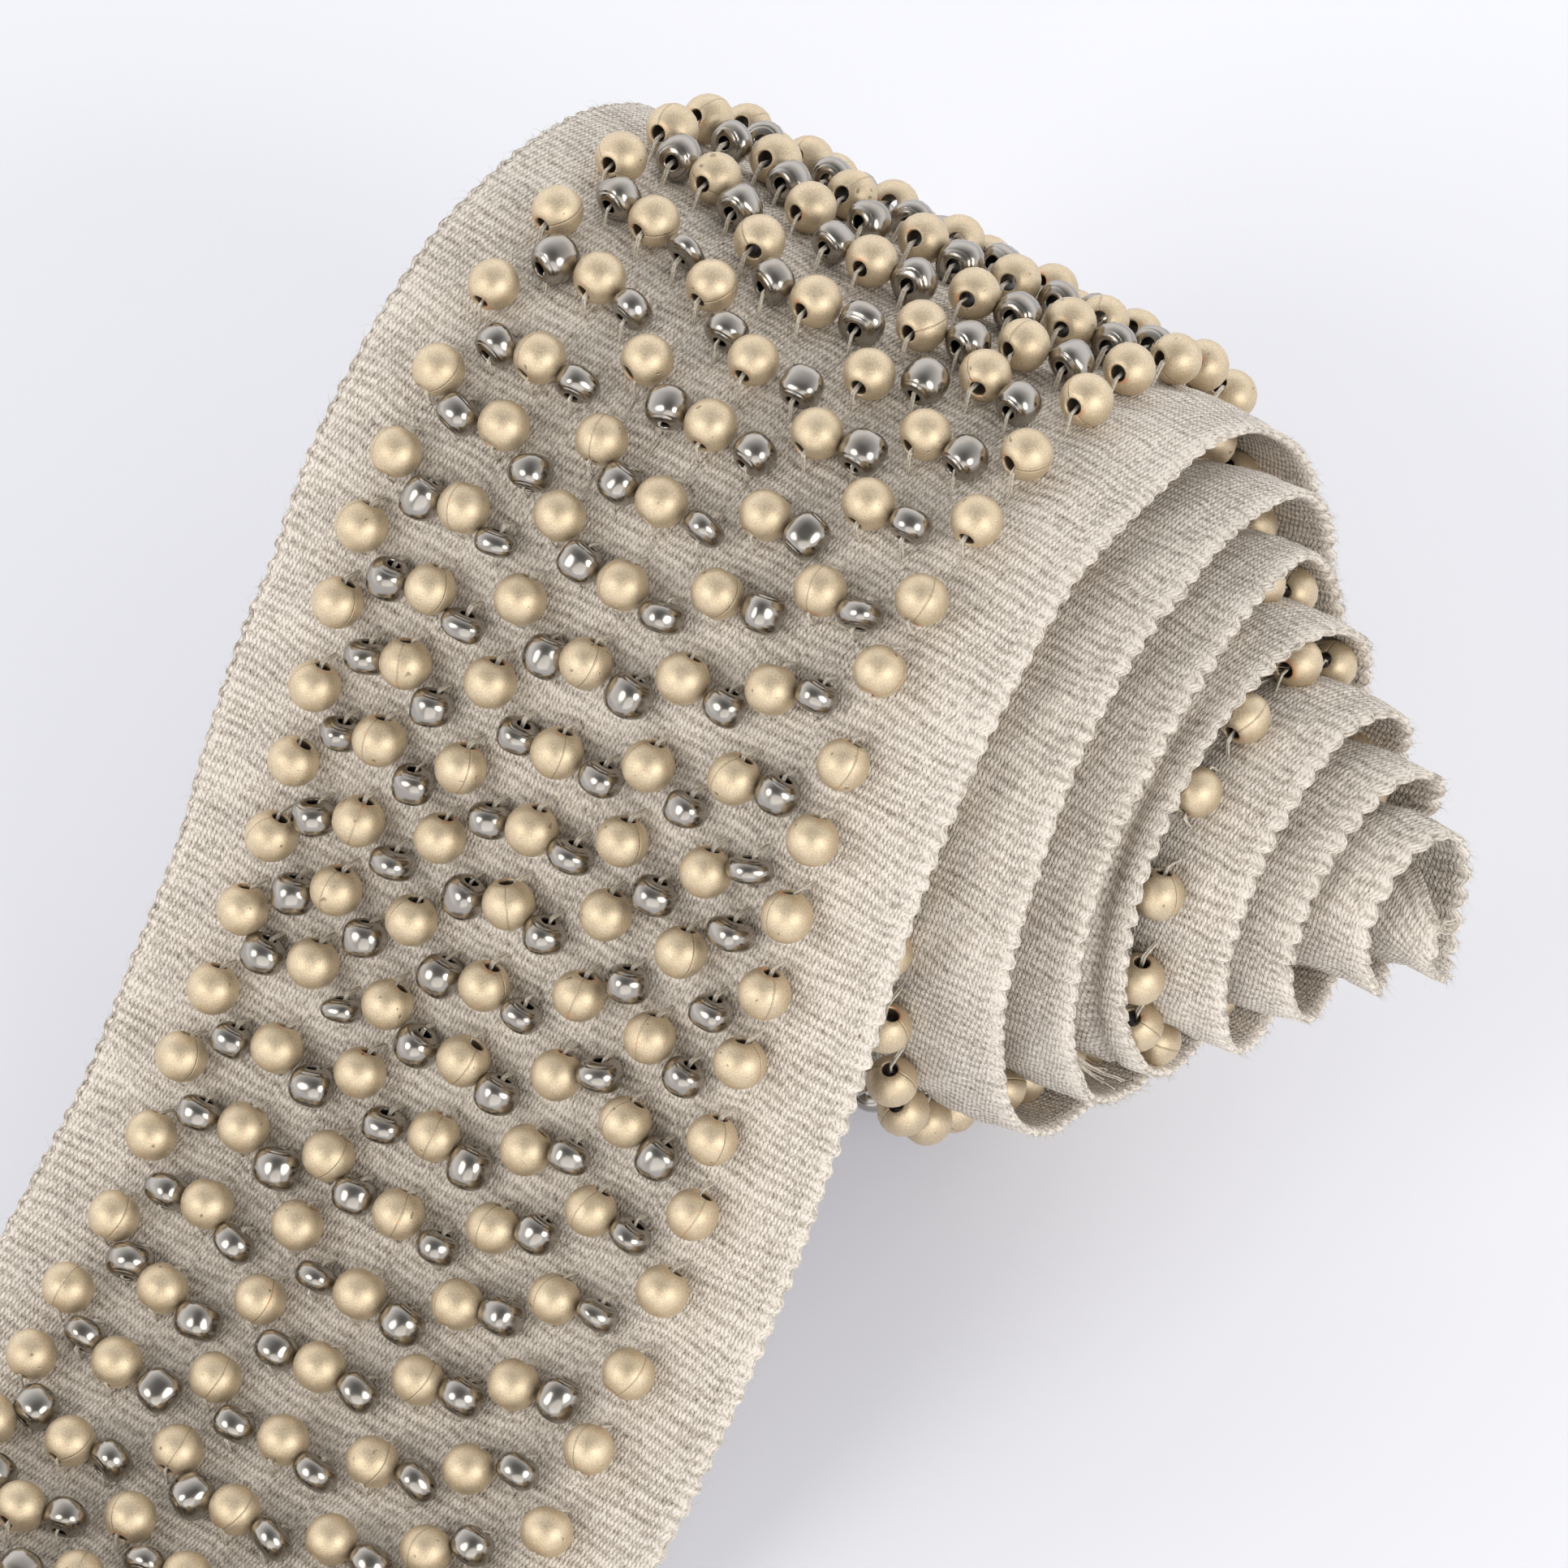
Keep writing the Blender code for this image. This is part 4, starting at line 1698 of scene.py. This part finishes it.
@dataclass
class BeadThreads:
    """The pairs of threads that run from bead to bead, sunk in the cloth between.

    Attributes:
        path: where the band runs.
        half_lengths: half of each kind of bead's length.
        radius: of a strand in a bead's hole, where it stands full.
        thin: its radius where it lies in the cloth.
        apart: from the pair's middle to each strand.
        sunk: how deep the strands lie in the cloth at the crown, and elsewhere.
        crown: the run where they lie shallowest, and how far that reaches.
        longest: the longest gap that a thread crosses.
        twist: the angle that a pair turns through from bead to bead, in radians.
        within: the fall's first two steps, as shares of half a bead's length.
        beyond: its further steps past the bead's end.
        fall: the strand's height at each step, as a share of the bead's.
    """

    path: BandPath
    half_lengths: dict[Bead, float]
    radius: float = 0.125
    thin: float = 0.075
    apart: float = 0.10
    sunk: tuple[float, float] = (0.12, 0.46)
    crown: tuple[float, float] = (4.0, 22.0)
    longest: float = 12.0
    twist: float = 6.0
    within: tuple[float, float] = (0.4, 0.96)
    beyond: tuple[float, float, float] = (0.12, 0.26, 0.45)
    fall: tuple[float, ...] = (1.0, 0.90, 0.62, 0.27, 0.0)

    def _fall(self, index: int, seats: Seats, way: float) -> tuple[np.ndarray, np.ndarray]:
        """Give a thread's steps out of a bead's hole and down to the cloth.

        Args:
            index: the bead's column.
            seats: the beads.
            way: 1 to leave down the band, -1 to leave up it.

        Returns:
            Steps along the band from the bead's middle, and heights.
        """
        half = self.half_lengths[COLUMNS[index].kind]
        away = [share * half for share in self.within] + [half + step for step in self.beyond]
        fall = np.array(self.fall)
        middle, reach = self.crown
        near = np.exp(-(((seats.run - middle) / reach) ** 2))
        sunk = self.sunk[1] + (self.sunk[0] - self.sunk[1]) * near
        heights = seats.height[:, None] * fall - sunk[:, None] * (1 - fall)
        return way * np.array(away)[None, :], heights

    def lines(self, seats: Seats) -> np.ndarray:
        """Draw both strands between each bead and the next in its column.

        Args:
            seats: where the beads sit.

        Returns:
            Lines, as lines by points by three.
        """
        out = []
        for index in range(len(COLUMNS)):
            own = seats.pick(seats.column == index)
            own = own.pick(np.argsort(own.run))
            close = np.diff(own.run) < self.longest
            a = own.pick(np.append(close, False))
            b = own.pick(np.append(False, close))
            leave, down = self._fall(index, a, 1.0)
            reach, up = self._fall(index, b, -1.0)
            u = np.concatenate([a.run[:, None] + leave, (b.run[:, None] + reach)[:, ::-1]], axis=1)
            h = np.concatenate([down, up[:, ::-1]], axis=1)
            t = (u - a.run[:, None]) / (b.run - a.run)[:, None]
            w = a.across[:, None] + t * (b.across - a.across)[:, None]
            angle = self.twist * t + a.run[:, None]
            for apart in (-self.apart, self.apart):
                out.append(self.path.place(u, w + apart * np.cos(angle), h + apart * np.sin(angle)))
        return np.concatenate(out)

    def radii(self, count: int) -> np.ndarray:
        """Give the strands' radius at each of their points.

        Args:
            count: the number of strands.

        Returns:
            Radii, as strands by points.
        """
        fall = np.array([self.radius, self.radius, self.radius, 0.85 * self.radius, self.thin])
        return np.tile(np.concatenate([fall, fall[::-1]]), (count, 1))


@dataclass
class Fibres:
    """Short loose fibres along the selvedges and on the cloth.

    Attributes:
        path: where the band runs.
        band: the cloth that they grow from.
        count: how many there are.
        radius: a fibre's radius.
        longest: the greatest length.
        on_face: share of the outer turn's fibres that stand on its face.
        on_left: share of the others that stand on the left selvedge.
        lift: how steeply fibres leave the face, and a selvedge.
    """

    path: BandPath
    band: LinenBand
    count: int = 9000
    radius: float = 0.020
    longest: float = 1.1
    on_face: float = 0.30
    on_left: float = 0.25
    lift: tuple[float, float] = (0.35, 0.2)

    def lines(self) -> tuple[np.ndarray, np.ndarray]:
        """Draw each fibre as a bent line that leaves the cloth, rising as sin(2.2t).

        Returns:
            Lines, as lines by points by three, and the radius at each point.
        """
        rng = np.random.default_rng(SEED + 7)
        low, high, width = self.path.inner_end, self.path.cut_end, self.path.width
        run = rng.uniform(low, high, self.count)
        outer = run > self.path.run_at(1.0)
        edge = rng.choice([0.0, width], self.count, p=[self.on_left, 1 - self.on_left])
        face = outer & (rng.uniform(0, 1, self.count) < self.on_face)
        across = np.where(face, rng.uniform(2, width - 2, self.count), edge)
        length = self.longest * rng.uniform(0.35, 1.0, self.count) ** 1.5
        away = np.where(face, rng.normal(0, 1, self.count), np.where(edge > 1, 1.0, -1.0))
        away = away * rng.uniform(0.3, 1.0, self.count)
        up = np.where(face, *self.lift) * np.abs(rng.normal(0, 1, self.count))
        drag = rng.normal(0, 0.8, self.count)
        t = np.linspace(0, 1, 3)[None, :]
        bend = rng.normal(0, 0.6, (self.count, 1)) * t * t
        size = length[:, None]
        u = run[:, None] + size * (drag[:, None] * t + bend)
        w = across[:, None] + size * (away[:, None] * t - 0.4 * bend)
        h = -0.2 + size * up[:, None] * np.sin(t * 2.2)
        points = self.path.place(np.clip(u, low, high), w, h)
        points = points + np.where(face[:, None], 0.0, self._shift(run, edge))[:, None]
        points[..., 2] = np.maximum(points[..., 2], 0.05)
        return points, self.radius * (1.1 - t) + 0 * size

    def _shift(self, run: np.ndarray, edge: np.ndarray) -> np.ndarray:
        """Give how far the selvedge lies from the band's plain path.

        Args:
            run: places along the band.
            edge: nought for the left selvedge, the band's width for the right one.

        Returns:
            The shift at each place.
        """
        stations, rims = self.band.selvedges()
        sides = [[np.interp(run, stations, rims[:, side, axis]) for axis in range(3)]
                 for side in (0, 1)]
        rim = np.where(edge > 1, sides[1], sides[0]).T
        plain = self.path.place(run, np.clip(edge, 0.3, self.path.width - 0.3), -self.band.edge / 2)
        return rim - plain


@dataclass
class FrayedEnds:
    """Yarn ends that stand out of the band's two raw ends.

    Attributes:
        path: where the band runs.
        yarn: distance from yarn to yarn.
        radius: a yarn's radius.
        shortest: the least length that stands out.
        longest: the greatest.
    """

    path: BandPath
    yarn: float = 0.36
    radius: float = 0.15
    shortest: float = 0.15
    longest: float = 0.9

    def lines(self) -> tuple[np.ndarray, np.ndarray]:
        """Draw a short stub for each yarn of both ends, bent aside as t squared.

        Returns:
            Lines, as lines by points by three, and the radius at each point.
        """
        rng = np.random.default_rng(SEED + 9)
        across = np.arange(0.4, self.path.width - 0.3, self.yarn)
        count = len(across)
        t = np.linspace(0, 1, 4)[None, :]
        every, radii = [], []
        for end, sign in ((self.path.inner_end, -1.0), (self.path.cut_end, 1.0)):
            length = rng.uniform(self.shortest, self.longest, count)[:, None]
            sway = rng.normal(0, 0.3, (count, 1))
            height = rng.uniform(-0.9, -0.3, count)[:, None]
            cut = self.path.cut(across) if sign < 0 else 0.0
            base = self.path.place(end - sign * 0.1 + cut, across, 0.0)
            _, along, out = self.path.axes(np.full(count, end))
            points = base[:, None] + sign * along[:, None] * (length * t)[..., None]
            points = points + out[:, None] * (height + 0 * t)[..., None]
            points[..., 0] += sway * length * t * t
            every.append(points)
            radii.append(self.radius * (1.0 - 0.55 * t) + 0 * length)
        points = np.concatenate(every)
        points[..., 2] = np.maximum(points[..., 2], 0.12)
        return points, np.concatenate(radii)


@dataclass
class Tufts:
    """Loose ends of yarn that stick out past the right selvedge.

    Attributes:
        path: where the band runs.
        places: each tuft's turns from the crown, place across, length and strands.
        radius: a strand's radius.
        points: points along a strand.
    """

    path: BandPath
    places: tuple[tuple[float, float, float, int], ...] = (
        (1.738, 62.9, 4.8, 9), (6.96, 62.5, 1.5, 16),
    )
    radius: float = 0.085
    points: int = 7

    def lines(self) -> tuple[np.ndarray, np.ndarray]:
        """Draw each strand sideways off the cloth, bent and sagging with t squared.

        Returns:
            Lines, as lines by points by three, and the radius at each point.
        """
        rng = np.random.default_rng(SEED + 11)
        t = np.linspace(0, 1, self.points)[None, :]
        every = []
        for turn, across, length, count in self.places:
            reach = length * rng.uniform(0.55, 1.0, (count, 1))
            u = self.path.run_at(turn) + rng.normal(0, 0.35, (count, 1))
            u = u + reach * (0.16 * rng.normal(0, 1, (count, 1)) * t + 0.12 * np.sin(5 * t) * t)
            h = 0.1 + reach * (0.18 * rng.normal(0, 1, (count, 1)) * t + 0.08 * t * t)
            every.append(self.path.place(u, across + reach * t, h))
        points = np.concatenate(every)
        return points, self.radius * (1.0 - 0.4 * t) + 0 * points[..., 0]


@dataclass
class BeadedBand:
    """The whole trim: cloth, beads, their threads and loose fibres.

    Attributes:
        path: where the band runs.
        gold: the gold bead.
        gunmetal: the gunmetal bead.
        seat: height of each kind's middle over the face.
        plainer: points round and along a gold and a gunmetal bead of the inner turns.
    """

    path: BandPath
    gold: BeadForm = BeadForm(2.12, 2.09, 0.66, 2.0, 20, 12)
    gunmetal: BeadForm = BeadForm(1.83, 1.50, 0.58, 2.6, 18, 10)
    seat: tuple[float, float] = (2.1, 1.8)
    plainer: tuple[tuple[int, int], tuple[int, int]] = ((16, 10), (14, 8))

    def _beads(self, seats: Seats) -> list[bpy.types.Object]:
        """Build the beads, one piece for each kind on each stretch of the band.

        Args:
            seats: where the beads sit.

        Returns:
            The pieces.
        """
        finish = {Bead.GOLD: GoldFinish().make("gold_coat"),
                  Bead.GUNMETAL: GunmetalFinish().make("gunmetal_coat")}
        change = self.path.run_at(1.0)
        stretches = {"loose": (0.0, self.path.cut_end), "outer": (change, 0.0),
                     "inner": (self.path.inner_end, change)}
        is_gold = np.array([c.kind is Bead.GOLD for c in COLUMNS])[seats.column]
        pieces = []
        for number, (name, (low, high)) in enumerate(stretches.items()):
            here = (seats.run > low) & (seats.run <= high)
            gold, gunmetal = self.gold, self.gunmetal
            if name == "inner":
                gold, gunmetal = (replace(form, around=around, along=along)
                                  for form, (around, along) in zip((gold, gunmetal), self.plainer))
            golds = BeadSet(gold, self.path, raised=-0.02, tilt=0.15, spread=(0.01, 0.012),
                            square=0.005, seed=10 + number)
            steels = BeadSet(gunmetal, self.path, raised=0.02, tilt=0.18, spread=(0.15, 0.035),
                             square=0.05, seed=20 + number)
            for kind, made, own in ((Bead.GOLD, golds, is_gold), (Bead.GUNMETAL, steels, ~is_gold)):
                chosen = seats.pick(here & own)
                pieces.append(made.build(f"{kind.value}_beads_{name}", chosen, finish[kind]))
        return pieces

    def build(self) -> list[bpy.types.Object]:
        """Returns:
            The cloth and what is sewn to it or grows from it.
        """
        band = LinenBand(self.path)
        cloth = band.build(LinenFinish().make("linen"))
        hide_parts(ROLL_NODE, LOOSE_NODE)

        forms = {Bead.GOLD: self.gold, Bead.GUNMETAL: self.gunmetal}
        seats = Sewing(self.path, forms, dict(zip(forms, self.seat))).lay()
        pieces = self._beads(seats)
        thread = ThreadFinish().make("thread")
        yarn = ThreadFinish(rgb(222, 213, 199), rgb(178, 166, 150)).make("linen_yarn")
        strings = BeadThreads(self.path, {kind: form.half_length for kind, form in forms.items()})
        strands = strings.lines(seats)
        pieces.append(Tubes(4).build("bead_threads", strands, strings.radii(len(strands)), thread))
        fibres = Fibres(self.path, band)
        pieces.append(Tubes(3).build("loose_fibres", *fibres.lines(), thread))
        pieces.append(Tubes(5).build("frayed_yarns", *FrayedEnds(self.path).lines(), yarn))
        pieces.append(Tubes(4).build("loose_yarns", *Tufts(self.path).lines(), yarn))
        return [cloth, *pieces]


@dataclass(frozen=True)
class Lamp:
    """One round soft lamp.

    Attributes:
        name: the lamp's name.
        direction: where it hangs from the aim.
        power: its strength in watts.
        size: its width in metres.
    """

    name: str
    direction: tuple[float, float, float]
    power: float
    size: float


@dataclass(frozen=True)
class Studio:
    """The pale table, its soft light and the camera.

    Attributes:
        aim: the point at the middle of the picture, in millimetres.
        distance: from the aim to the camera.
        azimuth: the camera's turn to the right of the band's front, in degrees.
        elevation: its height over the table, in degrees.
        roll: its turn about its own view, in degrees.
        lens: focal length in millimetres.
        sensor: the picture's width in the camera, in millimetres.
        table: half the table's width in metres.
        lamps: what lights the trim from the right, the left and low in front.
        lamp_reach: from the aim to each lamp, in metres.
        lamp_colour: the lamps' tint.
        bright: the room's light away from its dim part.
        dim: the room's light behind and over the camera.
        dim_way: direction of the middle of the dim part.
        bright_up_to: cosine of the angle from there at which the room is bright.
        dim_from: cosine of the angle within which the room is dim.
    """

    aim: tuple[float, float, float] = (-6.86, 32.02, 32.0)
    distance: float = 1114.6
    azimuth: float = 38.569
    elevation: float = 52.415
    roll: float = 3.502
    lens: float = 320.3
    sensor: float = 36.0
    table: float = 4.0
    lamps: tuple[Lamp, ...] = (
        Lamp("side_lamp", (0.841, -0.189, 0.507), 135.0, 3.4),
        Lamp("front_lamp", (-0.299, -0.750, 0.590), 95.0, 3.4),
        Lamp("low_lamp", (0.50, -0.82, 0.28), 78.0, 5.5),
    )
    lamp_reach: float = 6.0
    lamp_colour: tuple[float, float, float] = (1.0, 0.985, 0.955)
    bright: tuple[float, ...] = (1.46, 1.46, 1.49, 1.0)
    dim: tuple[float, ...] = (0.22, 0.22, 0.22, 1.0)
    dim_way: tuple[float, float, float] = (0.27, -0.34, 0.90)
    bright_up_to: float = 0.12
    dim_from: float = 0.97

    def camera(self) -> None:
        """Stand the camera where the photograph was taken from."""
        data = bpy.data.cameras.new("camera")
        data.sensor_width = self.sensor
        data.lens = self.lens
        data.clip_start, data.clip_end = 0.05, 20.0
        turn = Matrix.Rotation(math.radians(self.azimuth), 4, "Z")
        turn @= Matrix.Rotation(math.radians(90 - self.elevation), 4, "X")
        turn @= Matrix.Rotation(math.radians(-self.roll), 4, "Z")
        away = turn @ Vector((0, 0, self.distance * MM))
        eye = bpy.data.objects.new("camera", data)
        eye.matrix_world = Matrix.Translation(Vector(self.aim) * MM + away) @ turn
        bpy.context.scene.collection.objects.link(eye)
        bpy.context.scene.camera = eye

    def floor(self) -> None:
        """Lay the table under the band."""
        mesh = bpy.data.meshes.new("floor")
        ways = ((-1, -1), (1, -1), (1, 1), (-1, 1))
        corners = [(self.table * x, self.table * y, 0) for x, y in ways]
        mesh.from_pydata(corners, [], [(0, 1, 2, 3)])
        mesh.materials.append(FloorFinish().make("table"))
        table = bpy.data.objects.new("floor", mesh)
        bpy.context.scene.collection.objects.link(table)

    def hang(self, lamp: Lamp) -> None:
        """Hang a lamp that faces the aim.

        Args:
            lamp: the lamp.
        """
        data = bpy.data.lights.new(lamp.name, "AREA")
        data.shape, data.size = "DISK", lamp.size
        data.energy, data.color = lamp.power, self.lamp_colour
        made = bpy.data.objects.new(lamp.name, data)
        way = Vector(lamp.direction).normalized()
        made.matrix_world = Matrix.Translation(Vector(self.aim) * MM + way * self.lamp_reach) @ (
            way.to_track_quat("Z", "Y").to_matrix().to_4x4()
        )
        bpy.context.scene.collection.objects.link(made)

    def room(self) -> None:
        """Light the room evenly, but dim over the camera."""
        world = bpy.data.worlds.new("room")
        world.use_nodes = True
        nodes, links = world.node_tree.nodes, world.node_tree.links
        ramp = nodes.new("ShaderNodeValToRGB")
        low, high = ramp.color_ramp.elements
        low.position, low.color = self.bright_up_to, self.bright
        high.position, high.color = self.dim_from, self.dim
        angle = nodes.new("ShaderNodeVectorMath")
        angle.operation = "DOT_PRODUCT"
        angle.inputs[1].default_value = Vector(self.dim_way).normalized()
        links.new(nodes.new("ShaderNodeTexCoord").outputs["Generated"], angle.inputs[0])
        links.new(angle.outputs["Value"], ramp.inputs[0])
        links.new(ramp.outputs[0], nodes["Background"].inputs["Color"])
        bpy.context.scene.world = world
        bpy.context.scene.view_settings.view_transform = "Standard"

    def build(self) -> None:
        """Set up the floor, the lamps, the room and the camera."""
        self.floor()
        for lamp in self.lamps:
            self.hang(lamp)
        self.room()
        self.camera()


def plain(box: object) -> list:
    """Turn a box's corners into plain lists."""
    return [[float(value) for value in corner] for corner in box]


def main() -> None:
    """Build the trim and its studio, and log the band's ends and each piece's triangles."""
    logging.basicConfig(level=logging.INFO, format="%(message)s")
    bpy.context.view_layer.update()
    path = BandPath()
    log.info("band from %.1f to %.1f", path.inner_end, path.cut_end)
    Studio().build()
    for piece in BeadedBand(path).build():
        piece.data.calc_loop_triangles()
        log.info("%s: %d triangles", piece.name, len(piece.data.loop_triangles))
    bpy.context.view_layer.update()


if __name__ == "__main__":
    main()
